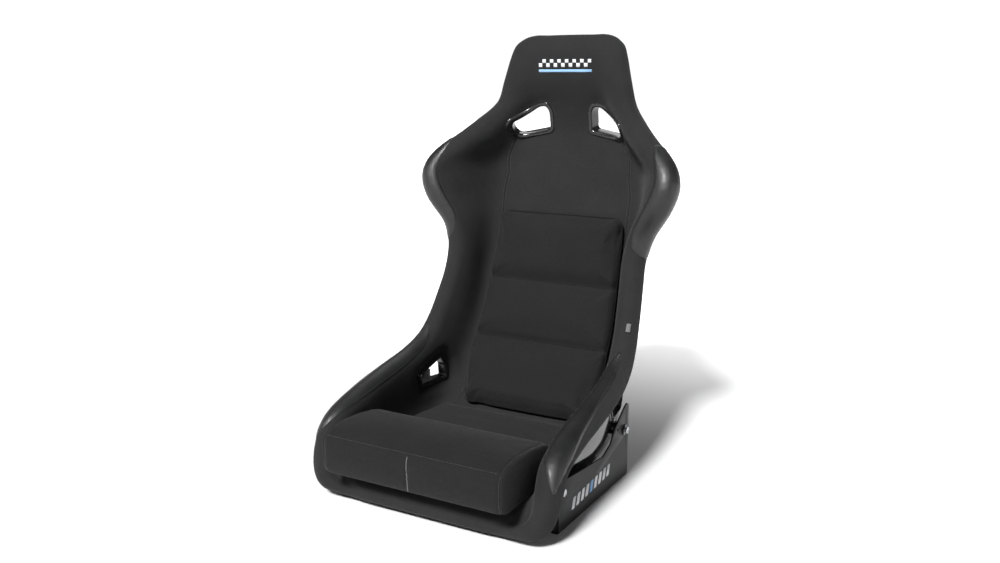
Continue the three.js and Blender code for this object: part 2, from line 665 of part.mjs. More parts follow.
function bracket() {
  const plate = solid(prismX(BRACKET_OUTLINE, PLATE_X, PLATE_X + PLATE));
  const flange = new THREE.BoxGeometry(FLANGE, 319, PLATE);
  flange.translate(PLATE_X - FLANGE / 2 + 0.5, -239.5, PLATE / 2);
  let body = plate.add(solid(flange));
  const holes = [circle(PIVOT, BOLT + 0.4), tiltSlot(), circle([-135, 113], 3)];
  for (const hole of holes) body = body.subtract(solid(prismX(hole, PLATE_X - 5, PLATE_X + PLATE + 5)));
  for (const y of FLOOR_SLOTS) {
    const slot = rounded([[-4.5, -12], [4.5, -12], [4.5, 12], [-4.5, 12]], 4.4);
    const x = PLATE_X - 24;
    body = body.subtract(solid(plug([-2, 6].map((z) => slot.map((p) => vec(x + p[0], y + p[1], z))))));
  }
  return geometryOf(body);
}
const bracketShape = bracket();
add("bracket_left", bracketShape, blackSteel);
add("bracket_right", flipX(bracketShape), blackSteel);

for (const [place, at] of [["front", PIVOT], ["rear", rearBolt]]) {
  const bore = prismX(circle(at, BOLT + 0.4), 200, 260);
  const boss = cut(prismX(circle(at, 15), 206, PLATE_X - 0.4), insideShell, bore);
  const washerX = PLATE_X + PLATE + 0.3;
  const rings = [[11, 0], [11, 1.6], [BOLT + 0.4, 1.6], [BOLT + 0.4, 0]];
  const washer = torus(rings.map(([r, x]) => yz(circle(at, r), washerX + x)));
  const headX = washerX + 1.9;
  const head = new THREE.CylinderGeometry(7.5, 7.5, 5.3, 6).rotateZ(Math.PI / 2);
  head.translate(headX + 2.65, at[0], at[1]);
  const bolt = geometryOf(solid(head).add(solid(prismX(circle(at, BOLT, 16), PLATE_X - 6, headX + 1))));
  for (const [side, turn] of [["left", (g) => g], ["right", flipX]]) {
    add(`mount_insert_${place}_${side}`, turn(boss), zinc);
    add(`washer_${place}_${side}`, turn(washer), plastic);
    add(`bolt_${place}_${side}`, turn(bolt), zinc);
  }
}

// The origin is the middle of the base.
const bounds = new THREE.Box3().setFromObject(seat);
const middle = bounds.getCenter(vec(0, 0, 0));
seat.position.set(-middle.x, -middle.y, -bounds.min.z);
const model = new THREE.Group();
model.add(seat);

export default model;
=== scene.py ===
"""Looks of a fixed-back racing seat: knit padding over a gelcoat shell, loose cushions and side mounts."""

import math
from contextlib import contextmanager

import bmesh
import bpy
import numpy as np
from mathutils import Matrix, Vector
from mathutils.bvhtree import BVHTree


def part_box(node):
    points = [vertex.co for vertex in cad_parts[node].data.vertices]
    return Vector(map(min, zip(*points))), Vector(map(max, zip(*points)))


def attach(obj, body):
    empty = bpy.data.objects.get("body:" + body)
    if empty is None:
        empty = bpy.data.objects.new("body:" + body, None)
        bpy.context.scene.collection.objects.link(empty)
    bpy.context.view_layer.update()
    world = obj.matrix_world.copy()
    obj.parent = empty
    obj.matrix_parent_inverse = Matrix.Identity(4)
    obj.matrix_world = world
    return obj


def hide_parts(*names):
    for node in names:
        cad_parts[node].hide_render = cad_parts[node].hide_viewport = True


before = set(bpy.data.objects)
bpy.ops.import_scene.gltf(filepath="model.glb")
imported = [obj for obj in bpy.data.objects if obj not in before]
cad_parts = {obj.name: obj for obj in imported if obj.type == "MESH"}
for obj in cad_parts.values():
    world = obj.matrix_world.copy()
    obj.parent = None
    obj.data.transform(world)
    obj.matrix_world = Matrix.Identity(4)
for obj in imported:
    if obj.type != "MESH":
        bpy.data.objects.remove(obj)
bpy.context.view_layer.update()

MM = 0.001

# ---- the padded surface
# One row per station, front lip to the top of the head, in millimetres and degrees: spine y, z on the
# centre line; rim x, y, z at the middle of the padded edge roll; half width of the flat middle; angle of
# the side where it meets the roll; radius of the roll.
STATIONS = [
    (-478, 26, 192, -469, 22, 120, 20, 12),
    (-468, 43, 238, -460, 42, 150, 65, 22),
    (-442, 56, 245, -443, 90, 165, 82, 26),
    (-400, 62, 242, -413, 132, 172, 87, 27),
    (-330, 62, 240, -338, 160, 176, 87, 27),
    (-240, 60, 239, -247, 181, 178, 86, 27),
    (-165, 62, 236, -167, 200, 174, 84, 27),
    (-100, 76, 231, -108, 226, 164, 80, 26),
    (-52, 118, 226, -70, 263, 152, 76, 25),
    (-10, 190, 220, -40, 312, 146, 72, 25),
    (40, 285, 214, -11, 372, 148, 68, 25),
    (76, 385, 214, 5, 434, 152, 62, 25),
    (100, 478, 230, 10, 494, 148, 56, 26),
    (118, 560, 269, -1, 560, 140, 48, 28),
    (130, 628, 270, 14, 611, 112, 46, 28),
    (138, 688, 204, 60, 674, 74, 42, 26),
    (128, 744, 150, 102, 736, 64, 26, 22),
    (108, 800, 133, 110, 797, 66, 12, 20),
    (102, 846, 120, 119, 848, 60, 6, 19),
    (106, 872, 109, 124, 869, 54, 5, 18),
    (116, 888, 84, 130, 880, 42, 4, 17),
]
TOP = len(STATIONS) - 1
FLAT = 0.4  # share of the width parameter spent on the flat middle
BEND_PULL = 0.42  # reach of the side curve's handles, as a share of its span
SQUARE_PULL = 0.04  # in metres, keeps the sides' rise steady where the rim is level with the spine
ACROSS = np.array([1.0, 0, 0])
SHELL = 4 * MM
SHELL_DEPTH = 15 * MM
SHELL_ROOM = 4.2 * MM
THIGH_FRONT = -526 * MM  # front of the thigh cushion in the stations' own y
Y0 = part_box("thigh_cushion")[0].y - THIGH_FRONT  # the stations' origin in the frame
UNITS = np.array([MM] * 6 + [math.pi / 180, MM])
TABLE = np.array(STATIONS, float) * UNITS + np.array([Y0, 0, 0, Y0, 0, 0, 0, 0])


def adjust(thing, settings):
    for key, value in settings.items():
        setattr(thing, key, value)


def unit(a):
    return a / np.maximum(np.linalg.norm(a, axis=-1, keepdims=True), 1e-12)


def smooth(t):
    t = np.clip(t, 0, 1)
    return t * t * (3 - 2 * t)


def lerp(a, b, t):
    return a + (b - a) * t


def station(u):
    u = np.asarray(u, float)
    i = np.clip(np.floor(u).astype(int), 0, TOP - 1)
    t = (u - i)[..., None]
    b, c = TABLE[i], TABLE[i + 1]
    a = np.where((i > 0)[..., None], TABLE[np.maximum(i - 1, 0)], 2 * b - c)
    d = np.where((i < TOP - 1)[..., None], TABLE[np.minimum(i + 2, TOP)], 2 * c - b)
    return 0.5 * (2 * b + (c - a) * t + (2 * a - 5 * b + 4 * c - d) * t**2 + (3 * b - a - 3 * c + d) * t**3)


def in_plane(y, z):
    return np.stack([np.zeros_like(y), y, z], -1)


def side_rise(u, s):
    """The way the sides rise from the spine: toward the rim, and square to the spine where they are flat."""
    step = station(np.clip(u + 0.001, 0, TOP)) - station(np.clip(u - 0.001, 0, TOP))
    run = unit(in_plane(step[..., 0], step[..., 1]))
    rise = s[..., 2:5] - in_plane(s[..., 0], s[..., 1])
    rise[..., 0] = 0
    return unit(rise + SQUARE_PULL * in_plane(-run[..., 2], run[..., 1]))


def surface(u, v):
    """Points of the padded surface; u runs 0..TOP along the seat, v runs -1..1 across it."""
    u, v = np.broadcast_arrays(np.asarray(u, float), np.asarray(v, float))
    s = station(u)
    spine, rim, rise = in_plane(s[..., 0], s[..., 1]), s[..., 2:5], side_rise(u, s)
    flat, lean, roll = s[..., 5:6], s[..., 6:7], s[..., 7:8]
    leaning = np.cos(lean) * ACROSS + np.sin(lean) * rise
    start = spine + flat * ACROSS
    end = rim - roll * np.sin(lean) * ACROSS + roll * np.cos(lean) * rise
    pull = BEND_PULL * np.linalg.norm(end - start, axis=-1, keepdims=True)
    w = np.abs(v)[..., None]
    t = np.clip((w - FLAT) / (1 - FLAT), 0, 1)
    bend = (1 - t) ** 3 * start + 3 * (1 - t) ** 2 * t * (start + pull * ACROSS)
    bend = bend + 3 * (1 - t) * t**2 * (end - pull * leaning) + t**3 * end
    p = np.where(w <= FLAT, spine + ACROSS * flat * w / FLAT, bend)
    p[..., 0] *= np.sign(v)
    return p


def normal(u, v):
    u, v = np.broadcast_arrays(np.asarray(u, float), np.asarray(v, float))
    du = surface(np.minimum(u + 0.02, TOP), v) - surface(np.maximum(u - 0.02, 0), v)
    dv = surface(u, np.minimum(v + 0.01, 1)) - surface(u, np.maximum(v - 0.01, -1))
    return unit(np.cross(dv, du))


def section_normal(u, v):
    """The normal in the cross-section alone, which stays steady where the two directions run together."""
    u, v = np.broadcast_arrays(np.asarray(u, float), np.asarray(v, float))
    s = station(u)
    lean = s[..., 6:7] * np.clip((np.abs(v)[..., None] - FLAT) / (1 - FLAT), 0, 1)
    return np.cos(lean) * side_rise(u, s) - np.sin(lean) * np.sign(v)[..., None] * ACROSS


def shell_depth(u, v):
    near_side = smooth((np.abs(v) - FLAT) / (1 - FLAT))
    near_end = np.maximum(smooth(1 - u / 2), smooth(1 - (TOP - u) / 2))
    return lerp(SHELL_DEPTH, station(u)[..., 7], 1 - (1 - near_side) * (1 - near_end))


def flat_share(u, x):
    """The cross parameter at a distance x from the centre line, within the flat middle."""
    return FLAT * x / station(u)[..., 5]


ROWS = np.linspace(0, TOP, TOP * 6 + 1)
HALF = np.concatenate([np.linspace(0, FLAT, 8), np.linspace(FLAT, 1, 17)[1:]])
COLUMNS = np.concatenate([-HALF[:0:-1], HALF])
U, V = np.meshgrid(ROWS, COLUMNS, indexing="ij")
POINTS = surface(U, V)
NORMALS = normal(U, V)


def padded_blur(a, axis):
    a = np.moveaxis(a, axis, 0)
    wide = np.concatenate([a[:1], a, a[-1:]])
    return np.moveaxis(0.25 * wide[:-2] + 0.5 * wide[1:-1] + 0.25 * wide[2:], 0, axis)


NEAR_CORNER = (smooth(1 - np.minimum(U, TOP - U) / 2.5) * smooth((np.abs(V) - 0.3) / 0.3))[..., None]
NORMALS = unit(lerp(NORMALS, section_normal(U, V), NEAR_CORNER))
for _ in range(6):
    NORMALS = unit(padded_blur(padded_blur(NORMALS, 0), 1))


def edge_of(grid):
    """A grid's border as one closed loop."""
    return np.concatenate([grid[0], grid[1:, -1], grid[-1, -2::-1], grid[-2:0:-1, 0]])


def around(loop, passes):
    for _ in range(passes):
        loop = 0.25 * np.roll(loop, 1, 0) + 0.5 * loop + 0.25 * np.roll(loop, -1, 0)
    return loop


edge_points = edge_of(POINTS)
edge_tangent = unit(around(np.roll(edge_points, -1, 0) - np.roll(edge_points, 1, 0), 6))
edge_normal = unit(around(section_normal(edge_of(U), edge_of(V)), 4))
EDGE_OUT = unit(np.cross(edge_tangent, edge_normal))
EDGE_N = unit(np.cross(EDGE_OUT, edge_tangent))
EDGE_R = station(edge_of(U))[:, 7:8]
EDGE_CENTRE = edge_points - EDGE_N * EDGE_R


def roll_loop(degrees, radius):
    """The loop round the edge roll at an angle: 0 faces the sitter, 90 is the outermost edge."""
    a = math.radians(degrees)
    return EDGE_CENTRE + radius * (math.cos(a) * EDGE_N + math.sin(a) * EDGE_OUT)


def offset_grid(distance):
    return POINTS - NORMALS * np.asarray(distance)[..., None]


# ---- meshes
def linked(name, data):
    """A new object in the scene."""
    obj = bpy.data.objects.new(name, data)
    bpy.context.scene.collection.objects.link(obj)
    return obj


class Skin:
    """Vertices and faces gathered from grids and loops."""

    def __init__(self):
        self.parts, self.faces, self.count = [], [], 0

    def add(self, points):
        points = np.asarray(points, float)
        shape = points.shape[:-1]
        self.parts.append(points.reshape(-1, 3))
        ids = self.count + np.arange(int(np.prod(shape))).reshape(shape)
        self.count += ids.size
        return ids

    def sheet(self, ids, flip=False):
        quads = np.stack([ids[:-1, :-1], ids[1:, :-1], ids[1:, 1:], ids[:-1, 1:]], -1).reshape(-1, 4)
        self.faces += (quads[:, ::-1] if flip else quads).tolist()

    def band(self, first, second):
        quads = np.stack([first, np.roll(first, -1), np.roll(second, -1), second], -1)
        self.faces += quads.tolist()

    def slab(self, front, back):
        f, b = self.add(front), self.add(back)
        self.sheet(f)
        self.sheet(b, True)
        self.band(edge_of(f), edge_of(b))

    def tube(self, loops, closed=False):
        """A run of loops, capped at both ends or closed on itself."""
        ids = [self.add(loop) for loop in loops]
        for a, b in zip(ids, ids[1:]):
            self.band(a, b)
        if closed:
            self.band(ids[-1], ids[0])
        else:
            self.faces += [list(ids[0][::-1]), list(ids[-1])]

    def build(self, name):
        mesh = bpy.data.meshes.new(name)
        mesh.from_pydata(np.concatenate(self.parts).tolist(), [], self.faces)
        tidy(mesh)
        return linked(name, mesh)


@contextmanager
def opened(mesh):
    """A mesh opened for editing, and written back after it."""
    bm = bmesh.new()
    bm.from_mesh(mesh)
    yield bm
    bm.to_mesh(mesh)
    bm.free()


def tidy(mesh):
    """Joins doubled points, turns the faces outward and shades them smooth."""
    with opened(mesh) as bm:
        bmesh.ops.remove_doubles(bm, verts=bm.verts, dist=1e-6)
        bmesh.ops.recalc_face_normals(bm, faces=bm.faces)
        for f in bm.faces:
            f.smooth = True
    mesh.update()


def slab(name, front, back):
    skin = Skin()
    skin.slab(front, back)
    return skin.build(name)


def loft(name, loops, closed=False):
    skin = Skin()
    skin.tube(loops, closed)
    return skin.build(name)


def read_vectors(source, attribute):
    values = np.zeros(len(source) * 3, np.float32)
    source.foreach_get(attribute, values)
    return values.reshape(-1, 3).astype(float)


def coordinates(obj):
    return read_vectors(obj.data.vertices, "co")


def vertex_normals(obj):
    return read_vectors(obj.data.vertex_normals, "vector")


def place(obj, points):
    obj.data.vertices.foreach_set("co", np.asarray(points, np.float32).ravel())
    obj.data.update()


def weigh(obj, name, weights, least):
    """A vertex group of the points whose weight is more than the least."""
    group = obj.vertex_groups.new(name=name)
    for k in np.nonzero(weights > least)[0]:
        group.add([int(k)], float(weights[k]), "REPLACE")


def modify(obj, kind, **settings):
    """Adds a modifier and applies it at once."""
    adjust(obj.modifiers.new(kind, kind), settings)
    depsgraph = bpy.context.evaluated_depsgraph_get()
    mesh = bpy.data.meshes.new_from_object(obj.evaluated_get(depsgraph))
    obj.modifiers.clear()
    old, obj.data = obj.data, mesh
    bpy.data.meshes.remove(old)
    return obj


def subdivide(obj):
    modify(obj, "SUBSURF", levels=1, render_levels=1)


def subtract(obj, tool):
    modify(obj, "BOOLEAN", operation="DIFFERENCE", solver="EXACT", object=tool)


def discard(obj):
    bpy.data.objects.remove(obj, do_unlink=True)


def mirrored(obj, name):
    twin = linked(name, obj.data.copy())
    place(twin, coordinates(obj) * [-1, 1, 1])
    twin.data.flip_normals()
    return twin


def joined(name, objects):
    bm = bmesh.new()
    for obj in objects:
        bm.from_mesh(obj.data)
    mesh = bpy.data.meshes.new(name)
    bm.to_mesh(mesh)
    bm.free()
    for obj in objects:
        discard(obj)
    return linked(name, mesh)


def sharp_by_angle(obj, degrees):
    """Keeps edges steeper than an angle sharp in shading."""
    with opened(obj.data) as bm:
        for edge in bm.edges:
            edge.smooth = edge.calc_face_angle(0) < math.radians(degrees)
    return obj


def near_line(points, line):
    """Distance of each point from a dense run of points."""
    best = np.full(len(points), 1e9)
    for p in line:
        best = np.minimum(best, np.einsum("ij,ij->i", points - p, points - p))
    return np.sqrt(best)


def lengths_along(line):
    return np.concatenate([[0], np.cumsum(np.linalg.norm(np.diff(line, axis=0), axis=1))])


def read_at(at, known, values):
    """Columns of values, each interpolated."""
    return np.stack([np.interp(at, known, column) for column in values.T], -1)


def resampled(line, spacing, closed=False):
    line = np.asarray(line, float)
    if closed:
        line = np.concatenate([line, line[:1]])
    length = lengths_along(line)
    out = read_at(np.linspace(0, length[-1], max(2, int(length[-1] / spacing) + 1)), length, line)
    return out[:-1] if closed else out


def ring_angles(count):
    return np.radians(np.arange(count) * 360 / count)[:, None]


def groove(obj, line, depth, width, direction=None):
    """Presses a soft groove into a mesh along a line."""
    co = coordinates(obj)
    line = resampled(line, width / 3)
    low, high = line.min(0) - 4 * width, line.max(0) + 4 * width
    near = np.all((co > low) & (co < high), axis=1)
    d = near_line(co[near], line)
    push = depth * np.exp(-((d / width) ** 2))
    way = vertex_normals(obj)[near] if direction is None else np.asarray(direction)
    co[near] -= push[:, None] * way
    place(obj, co)


# ---- materials
def feed(tree, node, inputs):
    """Links or sets a node's inputs."""
    for key, value in inputs.items():
        if isinstance(value, bpy.types.NodeSocket):
            tree.links.new(value, node.inputs[key])
        else:
            node.inputs[key].default_value = value


def add_node(tree, kind, inputs, **settings):
    node = tree.nodes.new("ShaderNode" + kind)
    adjust(node, settings)
    feed(tree, node, inputs)
    return node


def remapped(tree, value, low, high, to_low, to_high, curve="LINEAR"):
    inputs = {"Value": value, "From Min": low, "From Max": high, "To Min": to_low, "To Max": to_high}
    return add_node(tree, "MapRange", inputs, interpolation_type=curve).outputs["Result"]


class Nodes:
    """A short way to write a node material."""

    def __init__(self, name, **sockets):
        self.material = bpy.data.materials.new(name)
        self.material.use_nodes = True
        self.tree = self.material.node_tree
        self.set(**sockets)
        self.place = self.node("TexCoord", {}).outputs["Object"]

    def node(self, kind, inputs, **settings):
        return add_node(self.tree, kind, inputs, **settings)

    def noise(self, scale, detail=3.0, roughness=0.5, place=None):
        inputs = {"Vector": place or self.place, "Scale": scale, "Detail": detail, "Roughness": roughness}
        return self.node("TexNoise", inputs).outputs["Fac"]

    def cells(self, scale, randomness, feature="F1"):
        inputs = {"Vector": self.place, "Scale": scale, "Randomness": randomness}
        return self.node("TexVoronoi", inputs, feature=feature).outputs["Distance"]

    def remap(self, *values):
        return remapped(self.tree, *values)

    def math(self, operation, a, b):
        return self.node("Math", {0: a, 1: b}, operation=operation).outputs[0]

    def ramp(self, value, *stops):
        """A colour between two stops, each a position and a colour."""
        n = self.node("ValToRGB", {"Fac": value})
        for element, (position, colour) in zip(n.color_ramp.elements, stops):
            element.position = position
            element.color = (*colour, 1)
        return n.outputs["Color"]

    def bump(self, height, strength, distance, below=None):
        inputs = {"Height": height, "Strength": strength, "Distance": distance}
        if below is not None:
            inputs["Normal"] = below
        return self.node("Bump", inputs).outputs["Normal"]

    def set(self, **sockets):
        inputs = {key.replace("_", " "): value for key, value in sockets.items()}
        feed(self.tree, self.tree.nodes["Principled BSDF"], inputs)
        return self.material


def knit_material(name, dark, light, cell, depth):
    m = Nodes(name, Sheen_Weight=0.05, Sheen_Roughness=0.5, Specular_IOR_Level=0.2)
    loops = m.cells(1 / cell, 0.85)
    fuzz = m.noise(900, 2)
    cloudy = m.noise(14, 4, 0.6)
    weave = m.remap(loops, 0.1, 0.7, 1.0, 0.0)
    tone = m.math("ADD", m.math("MULTIPLY", weave, 0.3), m.math("MULTIPLY", cloudy, 0.7))
    normal_out = m.bump(weave, 0.6, depth, m.bump(fuzz, 0.25, depth * 0.6))
    return m.set(
        Base_Color=m.ramp(tone, (0.25, dark), (0.75, light)),
        Roughness=m.remap(cloudy, 0.2, 0.8, 0.78, 0.94),
        Normal=normal_out,
    )


def vinyl_material():
    m = Nodes("vinyl_grain", Specular_IOR_Level=0.5, Coat_Weight=0.1, Coat_Roughness=0.3)
    pebbles = m.cells(620, 0.9, "DISTANCE_TO_EDGE")
    creases = m.remap(pebbles, 0.0, 0.12, 0.0, 1.0)
    cloudy = m.noise(18, 4, 0.6)
    folds = m.noise(60, 2, 0.4)
    normal_out = m.bump(creases, 0.35, 0.0003, m.bump(folds, 0.25, 0.0012))
    return m.set(
        Base_Color=m.ramp(cloudy, (0.3, (0.01, 0.01, 0.0105)), (0.7, (0.0165, 0.0165, 0.017))),
        Roughness=m.remap(cloudy, 0.25, 0.75, 0.34, 0.44),
        Normal=normal_out,
    )


def gloss_material(name, base, light, rough, ripple, scale=28.0):
    """Polished plastic or gelcoat: slight waviness, faint haze and fine dust."""
    m = Nodes(name, Coat_Weight=0.35, Coat_Roughness=0.05)
    haze = m.noise(9, 5, 0.6)
    dust = m.remap(m.noise(420, 2), 0.55, 0.8, 0, 0.06)
    return m.set(
        Base_Color=m.ramp(m.noise(40, 4), (0.35, base), (0.75, light)),
        Roughness=m.math("ADD", m.remap(haze, 0.3, 0.75, rough, rough * 2.1), dust),
        Normal=m.bump(m.noise(scale, 2), ripple, 0.002),
    )


def powder_coat_material():
    m = Nodes("powder_coat_black", Specular_IOR_Level=0.15)
    grit = m.noise(1500, 2)
    cloudy = m.noise(22, 4, 0.6)
    return m.set(
        Base_Color=m.ramp(cloudy, (0.3, (0.008, 0.008, 0.009)), (0.75, (0.017, 0.017, 0.018))),
        Roughness=m.remap(cloudy, 0.25, 0.75, 0.3, 0.44),
        Normal=m.bump(grit, 0.35, 0.0004, m.bump(m.noise(160, 2), 0.15, 0.0006)),
    )


def zinc_material():
    m = Nodes("zinc_plate", Metallic=1.0)
    stretched = m.node("Mapping", {"Vector": m.place, "Scale": (60, 900, 900)}).outputs["Vector"]
    brushed = m.noise(1.0, 3, 0.6, stretched)
    stain = m.noise(120, 4, 0.6)
    return m.set(
        Base_Color=m.ramp(stain, (0.3, (0.44, 0.45, 0.46)), (0.7, (0.66, 0.67, 0.69))),
        Roughness=m.remap(m.math("ADD", brushed, stain), 0.7, 1.3, 0.22, 0.42),
        Normal=m.bump(brushed, 0.15, 0.0002),
    )


def thread_material(name, dark, light):
    """Satin embroidery: fine parallel threads."""
    m = Nodes(name, Sheen_Weight=0.3, Specular_IOR_Level=0.4)
    turned = m.node("Mapping", {"Vector": m.place, "Rotation": (0, 0.5, 0)}).outputs["Vector"]
    wave = {"Vector": turned, "Scale": 380.0, "Distortion": 1.2}
    strands = m.node("TexWave", wave, bands_direction="X").outputs["Fac"]
    tone = m.math("ADD", m.math("MULTIPLY", strands, 0.6), m.math("MULTIPLY", m.noise(300, 3), 0.4))
    return m.set(
        Base_Color=m.ramp(tone, (0.2, dark), (0.7, light)),
        Roughness=m.remap(strands, 0, 1, 0.5, 0.75),
        Normal=m.bump(strands, 0.5, 0.0004),
    )


def paint_material(name, dark, light):
    m = Nodes(name, Specular_IOR_Level=0.5)
    cloudy = m.noise(90, 4, 0.6)
    return m.set(
        Base_Color=m.ramp(cloudy, (0.3, dark), (0.7, light)),
        Roughness=m.remap(cloudy, 0.3, 0.7, 0.34, 0.5),
        Normal=m.bump(m.noise(900, 2), 0.2, 0.0002),
    )


KNIT = knit_material("knit_cover", (0.0115, 0.0115, 0.012), (0.0222, 0.0222, 0.023), 0.0014, 0.0006)
CUSHION_KNIT = knit_material(
    "knit_cushion", (0.0066, 0.0066, 0.007), (0.0128, 0.0128, 0.0134), 0.0021, 0.0009)
# Near-black knit for thin cords laid in creases: painted shade along seams, channels and the back cushion's
# foot.
PAINTED_SHADE_KNIT = knit_material("seam_shadow", (0.0015, 0.0015, 0.0017), (0.0035, 0.0035, 0.0038), 0.0012, 0.0005)
VINYL = vinyl_material()
GELCOAT = gloss_material("gelcoat_black", (0.006, 0.006, 0.0065), (0.011, 0.011, 0.0115), 0.09, 0.12)
PLASTIC = gloss_material("moulded_plastic", (0.008, 0.008, 0.0085), (0.014, 0.014, 0.0145), 0.16, 0.08, 60.0)
POWDER = powder_coat_material()
ZINC = zinc_material()
HOOK_TAPE = knit_material("hook_tape", (0.008, 0.008, 0.008), (0.016, 0.016, 0.016), 0.0011, 0.0012)
BLACK_THREAD = thread_material("thread_black", (0.006, 0.006, 0.0063), (0.014, 0.014, 0.0145))
GREY_THREAD = thread_material("thread_grey", (0.07, 0.07, 0.072), (0.16, 0.16, 0.163))
WHITE_THREAD = thread_material("thread_white", (0.55, 0.57, 0.6), (0.88, 0.9, 0.93))
BLUE_THREAD = thread_material("thread_blue", (0.18, 0.36, 0.6), (0.32, 0.56, 0.85))
WHITE_PAINT = paint_material("paint_white", (0.6, 0.61, 0.63), (0.82, 0.83, 0.85))
BLUE_PAINT = paint_material("paint_blue", (0.13, 0.3, 0.55), (0.22, 0.45, 0.75))


SIDES = ("_left", "_right")


def finished(obj, material, body="seat", replaces=()):
    obj.data.materials.clear()
    obj.data.materials.append(material)
    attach(obj, body)
    if replaces:
        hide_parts(*replaces)
    return obj


# ---- harness slots
# Outlines of the bezels' outer edges in millimetres.
SHOULDER_SLOT = [(42, 731), (54, 750), (79, 747), (137, 707), (141, 684), (127, 664), (42, 681)]  # x, z
LAP_SLOT = [(-64, 170), (-64, 130), (-153, 130), (-171, 164), (-84, 196)]  # y, z
CROTCH_SLOT = [(-38, -291), (38, -291), (38, -257), (-38, -257)]  # x, y
AXIS_SHIFT = np.array([0, Y0, 0])
DISH_REACH = 26 * MM  # the padding is drawn in round each slot
SLOT_INSET = 5 * MM  # from the bezel's outer edge to the edge of the hole in the padding
HOLE_FRONT, HOLE_BACK = 45 * MM, 65 * MM  # how far the holes' cutters reach each way
# Sections of the two mouldings: distance in from the outline, height over what they rest on.
BEZEL_FACE = [(0.4, -3), (-0.5, 0.2), (-0.1, 1.8), (1.0, 3.0), (2.6, 3.4), (6, 3.5), (8.3, 2.6), (9.2, 0.6)]
RING_FACE = [(-1.5, 0.45), (-0.8, 0.8), (0.6, 1), (3.8, 1), (4.8, 0.85)]  # heights as shares of the ring's


def inset(corners, distance):
    p = np.asarray(corners, float)
    before, after = p - np.roll(p, 1, 0), np.roll(p, -1, 0) - p
    turn = np.sign(np.sum(p[:, 0] * np.roll(p[:, 1], -1) - np.roll(p[:, 0], -1) * p[:, 1]))
    n1 = turn * unit(np.stack([-before[:, 1], before[:, 0]], -1))
    n2 = turn * unit(np.stack([-after[:, 1], after[:, 0]], -1))
    scale = distance / (1 + np.sum(n1 * n2, axis=1))
    return p + scale[:, None] * (n1 + n2)


def rounded(corners, radius, per_corner=9, per_side=9):
    """The corners as a smooth closed loop with the same number of points whatever its size."""
    p = np.asarray(corners, float)
    out = []
    ends = []
    for k in range(len(p)):
        sides = [p[k - 1] - p[k], p[(k + 1) % len(p)] - p[k]]
        lengths = [np.linalg.norm(s) for s in sides]
        ends.append([p[k] + s / n * min(radius, 0.46 * n) for s, n in zip(sides, lengths)])
    for k, (start, end) in enumerate(ends):
        for t in np.linspace(0, 1, per_corner):
            out.append((1 - t) ** 2 * start + 2 * t * (1 - t) * p[k] + t**2 * end)
        following = ends[(k + 1) % len(p)][0]
        for t in np.linspace(0, 1, per_side + 2)[1:-1]:
            out.append(lerp(end, following, t))
    return np.array(out)


def locate(targets, axes, u_range, v_range):
    """Surface parameters where two coordinates take given values."""
    us, vs = np.meshgrid(np.linspace(*u_range, 40), np.linspace(*v_range, 40), indexing="ij")
    grid = surface(us, vs)[..., axes]
    miss = np.linalg.norm(grid[None] - targets[:, None, None], axis=-1).reshape(len(targets), -1)
    best = miss.argmin(1)
    u, v = us.ravel()[best], vs.ravel()[best]
    for _ in range(8):
        m = surface(u, v)[..., axes] - targets
        along = (surface(u + 0.01, v)[..., axes] - targets - m) / 0.01
        across = (surface(u, v + 0.005)[..., axes] - targets - m) / 0.005
        step = np.linalg.solve(np.stack([along, across], -1), m[..., None])
        u, v = u - step[:, 0, 0], v - step[:, 1, 0]
    return u, v


class HarnessSlot:
    """One slot's outline on the padding, its hole and its two mouldings; sizes in millimetres."""

    def __init__(self, corners, axes, u_range, v_range, radius, ring_height, dish):
        self.corners = np.asarray(corners, float) * MM + AXIS_SHIFT[axes]
        self.axes, self.ranges = axes, (u_range, v_range)
        self.radius, self.ring_height, self.dish = radius * MM, ring_height, dish * MM
        u, v = locate(self.corners.mean(0)[None], axes, u_range, v_range)
        self.normal = normal(u, v)[0]
        self.outline = self.ring(0)[0]

    def ring(self, distance):
        loop = rounded(inset(self.corners, distance), max(self.radius - 0.6 * distance, 3 * MM))
        u, v = locate(loop, self.axes, *self.ranges)
        return surface(u, v), shell_depth(u, v)[:, None], normal(u, v)

    def at(self, distance, height):
        """A loop over the padding, following its slope, with the padding drawn in."""
        points, _, slope = self.ring(distance * MM)
        return points + unit(slope + 0.5 * self.normal) * height * MM - self.normal * self.dish

    def behind(self, distance, extra):
        points, depth, _ = self.ring(distance * MM)
        return points - self.normal * (depth + SHELL / 2 + extra * MM)

    def cutter(self):
        hole = self.ring(SLOT_INSET)[0]
        return loft("cutter", [hole + self.normal * HOLE_FRONT, hole - self.normal * HOLE_BACK])

    def bezel(self, name):
        deep = self.ring_height + 2
        throat = [(9.2, 0), (9.2, deep * 0.5), (9.2, deep * 0.94), (8.8, deep)]
        throat += [(6.2, deep), (5.8, deep * 0.94), (5.8, 0)]
        loops = [self.at(*q) for q in BEZEL_FACE] + [self.behind(*q) for q in throat] + [self.at(5.8, -3)]
        return loft(name, loops, closed=True)

    def back_ring(self, name):
        loops = [self.behind(d, share * self.ring_height) for d, share in RING_FACE]
        return loft(name, [self.behind(-1.5, -1), *loops, self.behind(5.2, -1)], closed=True)


shoulder = HarnessSlot(SHOULDER_SLOT, [0, 2], (14, 17), (0.1, 0.9), 13, 5, 3)
lap = HarnessSlot(LAP_SLOT, [1, 2], (5, 9), (0.5, 0.98), 10, 2, 9)
crotch = HarnessSlot(CROTCH_SLOT, [0, 1], (3.5, 6), (-0.3, 0.3), 10, 4, 2)

cutters = []
for slot in (shoulder, lap):
    tool = slot.cutter()
    cutters += [tool, mirrored(tool, "cutter_mirrored")]
cutters.append(crotch.cutter())
ALL_CUTTERS = joined("cutters", cutters)

